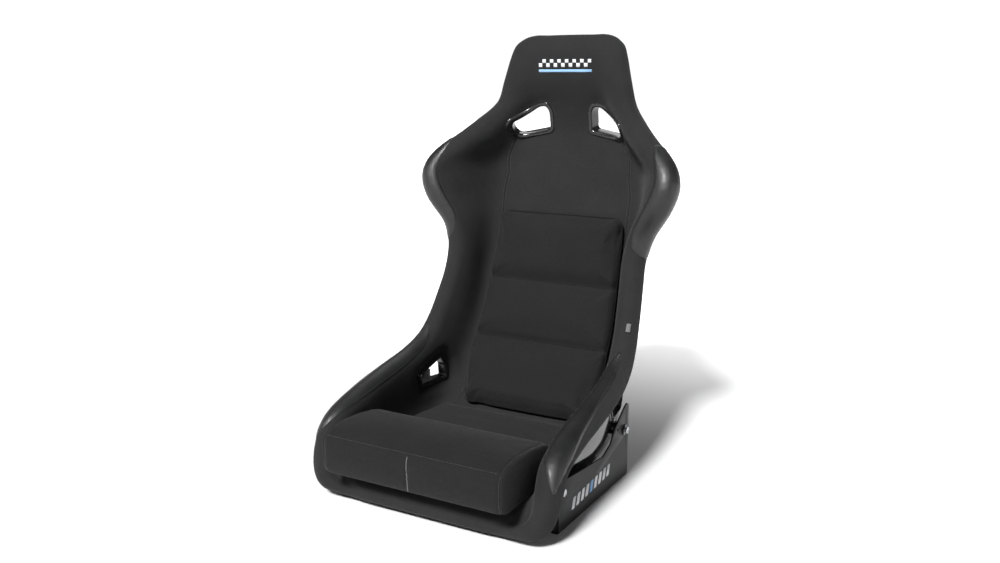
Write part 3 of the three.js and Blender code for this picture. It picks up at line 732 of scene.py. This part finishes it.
# ---- shell
depth_grid = shell_depth(U, V)
shell = slab("shell_gelcoat", offset_grid(depth_grid - SHELL / 2), offset_grid(depth_grid + SHELL / 2))
subdivide(shell)
subtract(shell, ALL_CUTTERS)
sharp_by_angle(shell, 40)
finished(shell, GELCOAT, replaces=["shell"])

# ---- knit cover
ROLL_END = 235  # angle round the edge where the cover tucks in behind
ROLL_STEPS = 16


def padded_cover():
    skin = Skin()
    front, back = skin.add(POINTS), skin.add(offset_grid(depth_grid - SHELL_ROOM))
    skin.sheet(front)
    skin.sheet(back, True)
    loops = [edge_of(front)]
    for k in range(1, ROLL_STEPS + 1):
        loops.append(skin.add(roll_loop(k * ROLL_END / ROLL_STEPS, EDGE_R)))
    tuck = math.sin(math.radians(ROLL_END - 180))
    loops.append(skin.add(EDGE_CENTRE - SHELL_ROOM * EDGE_N - tuck * EDGE_R * EDGE_OUT))
    loops += [skin.add(roll_loop(angle, SHELL_ROOM)) for angle in (180, 135, 90)]
    loops.append(edge_of(back))
    for a, b in zip(loops, loops[1:]):
        skin.band(a, b)
    return skin.build("cover_knit")


CORNERS = [POINTS[i, j] for i in (0, -1) for j in (0, -1)]


def relax(obj, centres, reach, passes):
    """Evens out the mesh round a few places."""
    co = coordinates(obj)
    weigh(obj, "relax", smooth(1.4 * (1 - near_line(co, centres) / reach)), 0.01)
    modify(obj, "SMOOTH", vertex_group="relax", factor=0.5, iterations=passes)


cover = padded_cover()
relax(cover, CORNERS, 0.06, 10)
subdivide(cover)


def dish(obj, slot, sign):
    """Draws the padding in round a slot."""
    co = coordinates(obj)
    flip = np.array([sign, 1, 1])
    line = slot.outline * flip
    way = slot.normal * flip
    near = np.linalg.norm(co - line.mean(0), axis=1) < 0.12
    facing = vertex_normals(obj)[near] @ way > 0.2
    d = near_line(co[near], resampled(line, 2 * MM, True))
    from_centre = np.linalg.norm(co[near] - line.mean(0), axis=1)
    inside = from_centre < np.linalg.norm(line - line.mean(0), axis=1).min()
    fade = np.where(inside, 1.0, smooth(1 - d / DISH_REACH))
    co[near] -= (slot.dish * fade * facing)[:, None] * way
    place(obj, co)


for slot, signs in ((shoulder, (1, -1)), (lap, (1, -1)), (crotch, (1,))):
    for sign in signs:
        dish(cover, slot, sign)

# Seams of the cover, from the shoulder slots' lower corners down beside the back cushion.
SEAM_START = np.array([[132, 668]]) * MM  # x, z
corner_u, corner_v = locate(SEAM_START, [0, 2], (13, 16), (0.1, 0.95))
seam_u = np.concatenate([corner_u - 0.05, np.linspace(14.0, 7.0, 60)])
seam_v = np.interp(seam_u, [7, 12.2, 13.4, corner_u[0]], [0.43, 0.43, 0.45, corner_v[0] - 0.01])
SIDE_SEAMS = [surface(seam_u, sign * seam_v) for sign in (1, -1)]
for line in SIDE_SEAMS:
    groove(cover, line, 1.2 * MM, 3.5 * MM)
subtract(cover, ALL_CUTTERS)
sharp_by_angle(cover, 60)
finished(cover, KNIT, replaces=["cover"])


def tree_of(obj):
    bm = bmesh.new()
    bm.from_mesh(obj.data)
    tree = BVHTree.FromBMesh(bm)
    bm.free()
    return tree


def on_surface(tree, line, lift):
    """The nearest points of a mesh to a line, lifted off it, and the normals there."""
    spots, normals = [], []
    for p in line:
        place_on, n, _, _ = tree.find_nearest(Vector(p))
        spots.append(np.array(place_on) + np.array(n) * lift)
        normals.append(np.array(n))
    return np.array(spots), np.array(normals)


STITCH_SPACING = 5 * MM
STITCH_LENGTH = 3.4 * MM
STITCH_RADIUS = 0.45 * MM
# Along one stitch: share of its length, thickness and height as shares of its radius.
STITCH_SHAPE = [(0, 0.45, -0.5), (0.2, 0.9, 0.35), (0.5, 1.0, 0.6), (0.8, 0.9, 0.35), (1, 0.45, -0.5)]


def stitches(name, runs):
    """Short raised threads along runs of points, each run as points and normals."""
    skin = Skin()
    angles = ring_angles(6)
    for line, normals in runs:
        along = lengths_along(line)
        middles = (np.arange(int(along[-1] / STITCH_SPACING)) + 0.5) * STITCH_SPACING
        starts = read_at(middles - STITCH_LENGTH / 2, along, line)
        stops = read_at(middles + STITCH_LENGTH / 2, along, line)
        ups = unit(read_at(middles, along, normals))
        sides = unit(np.cross(unit(stops - starts), ups))
        for start, stop, n, side in zip(starts, stops, ups, sides):
            section = (np.cos(angles) * side + np.sin(angles) * n) * STITCH_RADIUS
            lift = n * STITCH_RADIUS
            skin.tube([lerp(start, stop, t) + up * lift + size * section for t, size, up in STITCH_SHAPE])
    return skin.build(name)


def cord_along(name, lines, radius, lift=0.0, closed=False):
    """A thin cord laid along lines of points and normals: a thread, or a dark line of painted shade."""
    skin = Skin()
    angles = ring_angles(8)
    for line, normals in lines:
        tangents = unit(np.gradient(line, axis=0))
        sides = unit(np.cross(tangents, normals))
        ups = np.cross(sides, tangents)
        skin.tube([
            p + up * lift + radius * (np.cos(angles) * side + np.sin(angles) * up)
            for p, side, up in zip(line, sides, ups)
        ], closed)
    return skin.build(name)


cover_tree = tree_of(cover)
seam_runs, stitch_runs = [], []
for seam in SIDE_SEAMS:
    line = resampled(seam, 4 * MM)
    seam_runs.append(on_surface(cover_tree, line, 0.0))
    beside = unit(np.cross(np.gradient(line, axis=0), seam_runs[-1][1]))
    for offset in (-3.2 * MM, 3.2 * MM):
        stitch_runs.append(on_surface(cover_tree, line + offset * beside, 0.1 * MM))
# A near-black cord sunk in each seam groove: painted shade along the seam.
finished(cord_along("cover_seam_painted_shade", seam_runs, 0.7 * MM, -0.35 * MM), PAINTED_SHADE_KNIT)
finished(stitches("cover_topstitch", stitch_runs), BLACK_THREAD)

# ---- bezels and rings
for where, slot, ends in (("shoulder", shoulder, SIDES), ("lap", lap, SIDES), ("crotch", crotch, [""])):
    for kind, make in (("bezel", slot.bezel), ("back_ring", slot.back_ring)):
        pieces = [sharp_by_angle(make(f"{where}_{kind}_moulding{ends[0]}"), 50)]
        pieces += [mirrored(pieces[0], f"{where}_{kind}_moulding{end}") for end in ends[1:]]
        for piece, end in zip(pieces, ends):
            finished(piece, PLASTIC, replaces=[f"{where}_{kind}{end}"])
discard(ALL_CUTTERS)

# ---- vinyl wear patches
FIRST = len(COLUMNS) - 1  # the loop's index where the left edge starts
LEFT = slice(FIRST, FIRST + len(ROWS))


def on_roll(u, degrees):
    """Directions out of the left edge roll at stations u and angles, and the points where they leave it."""
    centre, n, out, r = (read_at(u, ROWS, values[LEFT]) for values in (EDGE_CENTRE, EDGE_N, EDGE_OUT, EDGE_R))
    angle = np.radians(degrees)[..., None]
    way = np.cos(angle) * unit(n)[:, None] + np.sin(angle) * unit(out)[:, None]
    return way, centre[:, None] + way * r[:, None]


PATCH_HEIGHT = 1.3 * MM
PATCH_SINK = 0.7 * MM  # how far its sewn edge sinks into the padding
PATCH_EDGE = 7 * MM  # width over which it rises from there
PATCH_BACK = 1.6 * MM


def roll_patch(name, seam, rows=120, columns=30):
    """A vinyl panel sewn on the roll; seam gives its inner and outer angle at each share of its length."""
    t = np.linspace(0, 1, rows)
    u = lerp(seam[0][0], seam[-1][0], t)
    inner, outer = seam_angles(seam, t)
    way, base = on_roll(u, lerp(inner[:, None], outer[:, None], np.linspace(0, 1, columns)))
    distance = near_line(base.reshape(-1, 3), resampled(edge_of(base), 3 * MM, True)).reshape(base.shape[:2])
    lift = -PATCH_SINK + (PATCH_HEIGHT + PATCH_SINK) * smooth(distance / PATCH_EDGE) ** 0.7
    top = base + way * lift[..., None]
    patch = slab(name, top, base - way * PATCH_BACK)
    return patch, resampled(edge_of(top[3:-3, 3:-3]), 3 * MM, True)


# Seams of the patches: station, inner angle, outer angle.
WING_SEAM = [
    (11.1, 150, 165), (11.25, 90, 186), (11.4, 58, 195), (11.7, 32, 195), (12.15, 6, 195),
    (12.8, -8, 195), (13.4, -4, 195), (13.95, 20, 195), (14.3, 42, 195), (14.6, 82, 190),
]
THIGH_SEAM = [
    (2.0, 122, 134), (2.4, 96, 150), (2.8, 68, 166), (3.3, 38, 170), (4.0, 20, 148),
    (5.1, 14, 122), (6.2, 22, 108), (6.9, 38, 102), (7.25, 56, 98), (7.55, 84, 96),
]


def seam_angles(seam, t):
    """Inner and outer angle at each share of the patch's length, evened out between the seam's points."""
    seam = np.array(seam, float)
    angles = read_at(lerp(seam[0, 0], seam[-1, 0], t), seam[:, 0], seam[:, 1:])
    for _ in range(12):
        angles[1:-1] = 0.25 * angles[:-2] + 0.5 * angles[1:-1] + 0.25 * angles[2:]
    return angles.T


for label, seam in (("wing", WING_SEAM), ("thigh", THIGH_SEAM)):
    patch, inside = roll_patch(f"{label}_vinyl_left", seam)
    thread = stitches(f"{label}_stitches_left", [on_surface(tree_of(patch), inside, 0.1 * MM)])
    for piece, side in ((patch, "left"), (mirrored(patch, f"{label}_vinyl_right"), "right")):
        finished(piece, VINYL, replaces=[f"{label}_patch_{side}"])
    for piece in (thread, mirrored(thread, f"{label}_stitches_right")):
        finished(piece, BLACK_THREAD)

# ---- loose cushions
CLOTH_FRAMES = 20
CLOTH = {
    "quality": 5, "mass": 0.3, "tension_stiffness": 12, "compression_stiffness": 12, "bending_stiffness": 0.6,
    "use_pressure": True, "uniform_pressure_force": 4.0, "vertex_group_mass": "pins",
}


def soft(obj, pinned, most, voxel=0.005):
    """Cloth simulation of a stuffed form: seams and resting side are pinned, the rest swells to a limit."""
    modify(obj, "REMESH", mode="VOXEL", voxel_size=voxel)
    modify(obj, "SMOOTH", factor=0.5, iterations=4)
    before = coordinates(obj)
    weigh(obj, "pins", pinned(before, vertex_normals(obj)), 0.02)
    cloth = obj.modifiers.new("cloth", "CLOTH")
    adjust(cloth.settings, CLOTH)
    cloth.settings.effector_weights.gravity = 0
    cloth.collision_settings.use_collision = False
    scene = bpy.context.scene
    for k in range(1, CLOTH_FRAMES + 1):
        scene.frame_set(k)
    after = coordinates(obj.evaluated_get(bpy.context.evaluated_depsgraph_get()))
    obj.modifiers.clear()
    obj.vertex_groups.clear()
    scene.frame_set(1)
    step = after - before
    length = np.linalg.norm(step, axis=1, keepdims=True)
    step *= most * np.tanh(length / most) / np.maximum(length, 1e-9)
    place(obj, before + step)
    subdivide(obj)
    for polygon in obj.data.polygons:
        polygon.use_smooth = True
    return obj


def near_lines(points, lines, reach):
    d = np.min([near_line(points, resampled(line, reach / 2)) for line in lines], axis=0)
    return smooth(1.5 - d / reach)


# Back cushion: three panels between two sewn channels.
BACK_FROM, BACK_TO = 7.3, 12.27
CHANNELS = (9.35, 10.65)
PAD_GAP = 2.5 * MM
PAD_HEIGHT = 30 * MM
CORNER = 20 * MM
EDGE_ROUND = 9 * MM
CROWN = 3 * MM  # how far the middle of each panel stands out
VALLEY_WIDTH, VALLEY_DEPTH = 6 * MM, 14 * MM  # of the sewn channels
SIDE_LIFT = 10 * MM  # how far up the side of the pad is widest
UNDERCUT = 8 * MM  # how far the pad draws in below that


def back_half(u):
    return lerp(150, 170, smooth((u - 7.4) / 1.6)) * MM - 17 * MM * smooth((u - 9.2) / 2.4)


def pad_point(u, x, lift):
    return surface(u, flat_share(u, x)) + normal(u, 0 * u) * np.asarray(lift)[..., None]


def back_line(u, lift, samples=60):
    x = np.linspace(-1, 1, samples) * (back_half(np.full(samples, u)) - 4 * MM)
    return pad_point(np.full(samples, u), x, np.full(samples, lift))


def back_outline():
    """Stations up the pad, the lengths to them from its foot and its nearer end, and half widths there."""
    u = np.linspace(BACK_FROM, BACK_TO, 120)
    along = lengths_along(surface(u, 0 * u))
    from_end = np.minimum(along, along[-1] - along)
    short = CORNER - np.sqrt(np.maximum(CORNER**2 - (CORNER - np.minimum(from_end, CORNER)) ** 2, 0))
    return u, along, from_end, back_half(u) - short


def back_cushion():
    u, along, from_end, half = back_outline()
    share = np.sin(np.linspace(-1, 1, 61) * math.pi / 2)
    uu, ss = np.meshgrid(u, share, indexing="ij")
    x = ss * half[:, None]
    from_side = half[:, None] - np.abs(x)
    border = np.minimum(from_side, from_end[:, None])
    edge = np.sqrt(1 - (1 - np.clip(border / EDGE_ROUND, 0, 1)) ** 2)
    cuts = np.interp(CHANNELS, u, along)
    valley = sum(np.exp(-(((along - c) / VALLEY_WIDTH) ** 2)) for c in cuts)[:, None]
    panel = np.concatenate([[0], cuts, [along[-1]]])
    k = np.clip(np.searchsorted(panel, along, side="right") - 1, 0, 2)
    within = (along - panel[k]) / (panel[k + 1] - panel[k])
    crown = (1 - (2 * within - 1) ** 2)[:, None] * (1 - ss**2) ** 0.5
    rise = PAD_HEIGHT - SIDE_LIFT + CROWN * crown - VALLEY_DEPTH * valley
    lift = PAD_GAP + SIDE_LIFT + edge * rise
    top = pad_point(uu, x, lift)
    drawn_in = lerp(u, u.mean(), 2 * UNDERCUT / along[-1])[:, None] + 0 * x
    bottom = pad_point(drawn_in, x * (1 - UNDERCUT / half[:, None]), np.full_like(x, PAD_GAP))
    return slab("back_cushion_soft", top, bottom)


def back_pins(points, normals):
    channels = near_lines(points, [back_line(u, PAD_HEIGHT - 10 * MM) for u in CHANNELS], 8 * MM)
    return np.maximum(channels, smooth((-normals @ normal(9.8, 0) - 0.2) / 0.5))


back = soft(back_cushion(), back_pins, 7 * MM, voxel=0.0042)
for u in CHANNELS:
    groove(back, back_line(u, PAD_HEIGHT - 12 * MM, 120), 5 * MM, 3 * MM, normal(u, 0))
finished(back, CUSHION_KNIT, "back_cushion", ["back_cushion"])

# Seat cushions: side profiles in millimetres (y, z), from the front round over the top.
THIGH_PROFILE = [
    (-476, 67), (-504, 67), (-516, 72), (-521, 86), (-521, 134), (-513, 148), (-496, 156), (-460, 160),
    (-400, 157), (-352, 150), (-338, 142), (-333, 132), (-333, 74), (-342, 69), (-440, 69),
]
HIP_PROFILE = [
    (-321, 70), (-321, 102), (-311, 108), (-220, 106), (-130, 100), (-121, 94), (-121, 83), (-132, 77),
    (-165, 70.5), (-240, 68),
]
THIGH_HALF = 199 * MM
HIP_HALF = 173 * MM


def profile_loop(profile, x, size=1.0):
    loop = rounded(np.array(profile, float) * MM + [Y0, 0], 9 * MM, 4, 4)
    centre = (loop.min(0) + loop.max(0)) / 2
    loop = lerp(centre, loop, size)
    return np.column_stack([np.full(len(loop), x), loop])


padding_room = slab("padding_room", *(offset_grid(np.full(U.shape, depth * MM)) for depth in (-2.5, 25)))


def profiled_cushion(name, profile, half):
    ends = [(-1, 0.9), (-0.985, 0.965), (-0.95, 1), (0.95, 1), (0.985, 0.965), (1, 0.9)]
    pad = loft(name, [profile_loop(profile, share * half, size) for share, size in ends])
    subtract(pad, padding_room)
    return pad


def end_seam(profile, x):
    loop = profile_loop(profile, x)
    return np.concatenate([loop, loop[:1]])


THIGH_SEAMS = [end_seam(THIGH_PROFILE, sign * (THIGH_HALF - 9 * MM)) for sign in (1, -1)]
front_x = np.linspace(-1, 1, 90) * (THIGH_HALF - 9 * MM)
front_seam = np.column_stack([front_x, np.full(90, -517 * MM + Y0), np.full(90, 146 * MM)])
centre_z = np.linspace(146, 70, 30) * MM
centre_seam = np.column_stack([0 * centre_z, np.full(30, -523 * MM + Y0), centre_z])
THIGH_SEAMS += [front_seam, centre_seam]


def thigh_pins(points, normals):
    return np.maximum(near_lines(points, THIGH_SEAMS, 7 * MM), smooth((-normals[:, 2] - 0.3) / 0.4))


def hip_pins(points, normals):
    seams = [end_seam(HIP_PROFILE, sign * (HIP_HALF - 8 * MM)) for sign in (1, -1)]
    return np.maximum(near_lines(points, seams, 7 * MM), smooth((-normals[:, 2] - 0.3) / 0.4))


thigh = soft(profiled_cushion("thigh_cushion_soft", THIGH_PROFILE, THIGH_HALF), thigh_pins, 7 * MM)
for line in THIGH_SEAMS:
    groove(thigh, line, 2.2 * MM, 3.2 * MM)
finished(thigh, CUSHION_KNIT, "thigh_cushion", ["thigh_cushion"])

hip = soft(profiled_cushion("hip_cushion_soft", HIP_PROFILE, HIP_HALF), hip_pins, 6 * MM)
finished(hip, CUSHION_KNIT, "hip_cushion", ["hip_cushion"])
discard(padding_room)

thigh_tree = tree_of(thigh)
runs = [on_surface(thigh_tree, resampled(centre_seam, 3 * MM), 0.2 * MM)]
finished(cord_along("thigh_centre_seam", runs, 0.8 * MM), GREY_THREAD, "thigh_cushion")
runs = [on_surface(thigh_tree, resampled(front_seam + [0, 0, 3.5 * MM], 3 * MM), 0.1 * MM)]
for line in THIGH_SEAMS[:2]:
    runs.append(on_surface(thigh_tree, resampled(line, 3 * MM), 0.0))
finished(stitches("thigh_topstitch", runs), BLACK_THREAD, "thigh_cushion")
back_tree = tree_of(back)
lines = [back_line(u, PAD_HEIGHT - 14 * MM) for u in CHANNELS]
runs = [on_surface(back_tree, resampled(line, 3 * MM), 0.1 * MM) for line in lines]
finished(stitches("back_channel_stitch", runs), BLACK_THREAD, "back_cushion")
# Near-black cords in the channel bottoms: painted shade in the channels.
finished(cord_along("back_channel_painted_shade", runs, 1.5 * MM, -0.9 * MM), PAINTED_SHADE_KNIT, "back_cushion")


def back_border():
    """The pad's outline on its side, a little below the front."""
    u, _, _, half = back_outline()
    across = np.linspace(-1, 1, 40)[1:-1]
    x = np.concatenate([half, -across * half[-1], -half[::-1], across * half[0]])
    at = np.concatenate([u, 0 * across + u[-1], u[::-1], 0 * across + u[0]])
    return pad_point(at, x, np.full_like(x, PAD_GAP + SIDE_LIFT))


# A near-black cord round the pad's foot: painted shade in the crease between the pad and the cover.
border = resampled(around(back_border(), 2), 3 * MM, True)
shade_cord = cord_along("back_cushion_painted_shade", [on_surface(back_tree, border, 0.2 * MM)], 2.3 * MM, closed=True)
finished(shade_cord, PAINTED_SHADE_KNIT, "back_cushion")

# ---- embroidered mark and tag
HEAD_FROM, HEAD_TO = 17.30, 17.92
MARK_HALF = 64 * MM
TILE_HEIGHT = 0.9 * MM


def head_tile(skin, x0, x1, u0, u1):
    """A small domed tile of thread on the front of the head."""
    steps = np.linspace(0, 1, 7)
    uu, xx = np.meshgrid(lerp(u0, u1, steps), lerp(x0, x1, steps), indexing="ij")
    dome = (1 - np.abs(2 * steps[:, None] - 1) ** 4) * (1 - np.abs(2 * steps[None] - 1) ** 4)
    shape = surface(uu, flat_share(uu, xx))
    n = normal(uu, 0 * uu)
    skin.slab(shape + n * (0.1 * MM + TILE_HEIGHT * dome[..., None] ** 0.5), shape - n * 0.8 * MM)


white, blue = Skin(), Skin()
CELLS = 14
for row in range(2):
    for column in range(CELLS):
        if (row + column) % 2:
            continue
        x0, x1 = (lerp(-MARK_HALF, MARK_HALF, (column + k) / CELLS) for k in (0.04, 0.96))
        u0, u1 = (lerp(HEAD_FROM + 0.22, HEAD_TO, (row + k) / 2) for k in (0.04, 0.96))
        head_tile(white, x0, x1, u0, u1)
head_tile(blue, -MARK_HALF, MARK_HALF, HEAD_FROM, HEAD_FROM + 0.12)
finished(white.build("head_mark_white"), WHITE_THREAD, replaces=["head_badge"])
finished(blue.build("head_mark_blue"), BLUE_THREAD)


def tag():
    """A folded woven label sewn into the edge seam."""
    t = np.linspace(0, 1, 10)
    way, base = on_roll(np.linspace(8.4, 8.72, 14), lerp(94, 114, t)[None])
    base += way * lerp(1.0, 3.2, np.sin(t * math.pi) ** 0.5)[None, :, None] * MM
    return slab("woven_tag", base + way * 0.5 * MM, base - way * 0.3 * MM)


finished(tag(), GREY_THREAD, replaces=["label_tag"])

# ---- side mounts and fastenings
BEND_RADIUS = 4.5 * MM  # of the brackets' folded feet


def bevel(bm, width, segments, chosen):
    edges = [e for e in bm.edges if chosen(e)]
    settings = {"profile": 0.5, "affect": "EDGES", "clamp_overlap": True}
    bmesh.ops.bevel(bm, geom=edges, offset=width, segments=segments, **settings)


def is_sharp(edge):
    return edge.calc_face_angle(0) > math.radians(35)


def bevelled(node, name, width, bend=None):
    """A node's shape with its faces joined up and its edges broken."""
    obj = linked(name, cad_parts[node].data.copy())
    with opened(obj.data) as bm:
        bmesh.ops.remove_doubles(bm, verts=bm.verts, dist=1e-5)
        bmesh.ops.dissolve_limit(bm, angle_limit=math.radians(1.5), verts=bm.verts, edges=bm.edges)
        if bend:
            bevel(bm, BEND_RADIUS, 6, bend)
        bevel(bm, width, 2, is_sharp)
        for f in bm.faces:
            f.smooth = True
    return sharp_by_angle(obj, 30)


SIGNS = (("left", 1), ("right", -1))

for side, sign in SIGNS:
    outer_x = max(abs(c.x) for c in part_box(f"bracket_{side}"))

    def is_bend(edge):
        return all(abs(abs(v.co.x) - outer_x) < 1e-4 and abs(v.co.z) < 1e-4 for v in edge.verts)

    bracket = bevelled(f"bracket_{side}", f"bracket_plate_{side}", 0.45 * MM, is_bend)
    finished(bracket, POWDER, "base", [f"bracket_{side}"])

ROUND_POINTS = 48
HEX_TURN = 12  # degrees
# The washer's section: distance along its axis and radius in millimetres.
WASHER = [(0, 4.6), (0, 10.2), (0.4, 10.6), (1.2, 10.6), (1.6, 10.2), (1.6, 4.6)]


def ring_round(centre, x, radius, degrees):
    """A loop round an axis along x; radius in millimetres."""
    a = np.radians(degrees)
    y, z = radius * MM * np.cos(a), radius * MM * np.sin(a)
    return np.stack([np.full(len(a), x), centre.y + y, centre.z + z], -1)


def circle(centre, x, radius):
    return ring_round(centre, x, radius, np.arange(ROUND_POINTS) * 360 / ROUND_POINTS)


def hexagon(centre, x, across, blend):
    """A hexagon's outline, or one blended toward its inner circle."""
    turned = np.arange(ROUND_POINTS) * 360 / ROUND_POINTS
    corner = across / np.cos(np.radians(turned % 60 - 30))
    return ring_round(centre, x, lerp(corner, across, blend), turned + HEX_TURN)


for end in ("front", "rear"):
    for side, sign in SIGNS:
        low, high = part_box(f"washer_{end}_{side}")
        centre = (low + high) / 2
        inner_x = min(abs(low.x), abs(high.x))
        loops = [circle(centre, sign * (inner_x + x * MM), radius) for x, radius in WASHER]
        washer = loft(f"washer_{end}_round_{side}", loops, closed=True)
        finished(sharp_by_angle(washer, 35), PLASTIC, replaces=[f"washer_{end}_{side}"])
        shank, tip = sorted(abs(corner.x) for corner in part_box(f"bolt_{end}_{side}"))
        head = inner_x + 1.9 * MM
        # Distance from the middle plane and radius; for the hexagon, its share of roundness too.
        shaft = [(shank, 3.2), (shank + 0.8 * MM, 4), (head, 4), (head, 7.6), (head + 0.7 * MM, 7.6)]
        shaft.append((head + 0.9 * MM, 7.1))
        socket = [(head + 0.9 * MM, 6.5, 0), (tip - 0.9 * MM, 6.5, 0), (tip - 0.3 * MM, 6.35, 0.8)]
        socket += [(tip, 5.6, 1), (tip - 0.1 * MM, 4.2, 1), (tip - 0.9 * MM, 3.4, 1)]
        loops = [circle(centre, sign * x, radius) for x, radius in shaft]
        loops += [hexagon(centre, sign * x, across, blend) for x, across, blend in socket]
        bolt = loft(f"bolt_{end}_hex_{side}", loops)
        finished(sharp_by_angle(bolt, 28), ZINC, replaces=[f"bolt_{end}_{side}"])
        insert = bevelled(f"mount_insert_{end}_{side}", f"insert_{end}_{side}", 0.4 * MM)
        finished(insert, ZINC, replaces=[f"mount_insert_{end}_{side}"])

for node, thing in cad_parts.items():
    if "grip_strip" in node:
        thing.data.materials.clear()
        thing.data.materials.append(HOOK_TAPE)

# Painted mark on each bracket: a run of slanted bars along its lower edge.
BARS = 9
BAR = np.array([(0, 0), (12, 0), (19, 22), (7, 22)]) * MM  # corners, y, z
MARK_START, MARK_STOP = np.array([(-346, 26), (-170, 34)]) * MM + [Y0, 0]
PLATE_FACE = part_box("bracket_left")[1].x

for side, sign in SIGNS:
    white, blue = Skin(), Skin()
    for k in range(BARS):
        loop = rounded(lerp(MARK_START, MARK_STOP, k / BARS) + BAR, 1.6 * MM, 4, 2)
        skin = blue if k == BARS // 2 else white
        skin.tube([
            np.column_stack([np.full(len(loop), sign * (PLATE_FACE + height)), loop])
            for height in (-0.1 * MM, 0.18 * MM)
        ])
    finished(white.build(f"bracket_bars_{side}"), WHITE_PAINT, "base")
    finished(blue.build(f"bracket_bar_blue_{side}"), BLUE_PAINT, "base")

# ---- floor, light and camera
FLOOR_HALF = 14
paper_x, paper_y = np.meshgrid(*[np.linspace(-FLOOR_HALF, FLOOR_HALF, 21)] * 2, indexing="ij")
sheet = Skin()
sheet.sheet(sheet.add(np.stack([paper_x, paper_y, 0 * paper_x - 0.4 * MM], -1)))
floor = sheet.build("floor")
if floor.data.polygons[0].normal.z < 0:
    floor.data.flip_normals()
paper = Nodes("studio_paper_painted_glow", Roughness=0.9, Specular_IOR_Level=0.1, Emission_Color=(1, 1, 1, 1))
# The floor glows more the further back it lies: painted light that fades the seat's cast shadow out behind
# it.
painted_glow_depth = paper.node("SeparateXYZ", {"Vector": paper.place}).outputs["Y"]
floor.data.materials.append(paper.set(
    Base_Color=paper.ramp(paper.noise(0.8, 3), (0.3, (0.74, 0.74, 0.745)), (0.7, (0.78, 0.78, 0.785))),
    Emission_Strength=paper.remap(painted_glow_depth, 0.15, 1.35, 0.0, 0.82, "SMOOTHSTEP")))

world = bpy.data.worlds.new("studio")
bpy.context.scene.world = world
bpy.context.scene.view_settings.view_transform = "Standard"
world.use_nodes = True
sky = world.node_tree
direction = add_node(sky, "TexCoord", {}).outputs["Generated"]
height = add_node(sky, "SeparateXYZ", {0: direction}).outputs["Z"]
backdrop = sky.nodes["Background"].inputs
backdrop["Color"].default_value = (1, 1, 1, 1)
sky.links.new(remapped(sky, height, 0.075, 0.2, 1.05, 0.04, "SMOOTHSTEP"), backdrop["Strength"])

MIDDLE = Vector((0, 0, 0.45))
SUN_ELEVATION = math.radians(45)


def light(name, kind, power, way, **settings):
    """A light that shines along a direction."""
    data = bpy.data.lights.new(name, kind)
    adjust(data, {"energy": power, **settings})
    lamp = linked(name, data)
    lamp.rotation_euler = way.to_track_quat("-Z", "Y").to_euler()
    return lamp


def light_box(name, position, width, height, power):
    """A rectangular light that faces the middle of the seat."""
    lamp = light(name, "AREA", power, MIDDLE - Vector(position), shape="RECTANGLE", size=width, size_y=height)
    lamp.location = position


sunward = Vector((0, math.cos(SUN_ELEVATION), -math.sin(SUN_ELEVATION)))
light("key_sun", "SUN", 5.5, sunward, angle=math.radians(12))
light_box("box_left", (-2.2, -1.5, 1.7), 0.4, 1.2, 5)
light_box("box_right", (2.5, 0.0, 1.0), 0.3, 1.2, 5)
light_box("box_back", (-0.9, 2.0, 2.4), 2.2, 0.7, 13)

lens = bpy.data.cameras.new("camera")
adjust(lens, {"sensor_width": 36, "lens": 35.118, "clip_start": 0.05, "clip_end": 100})
camera = linked("camera", lens)
camera.location = (0.957, -1.860 + Y0, 0.809)
camera.rotation_euler = (math.radians(90 - 11.95), 0, math.radians(29.7))
bpy.context.scene.camera = camera
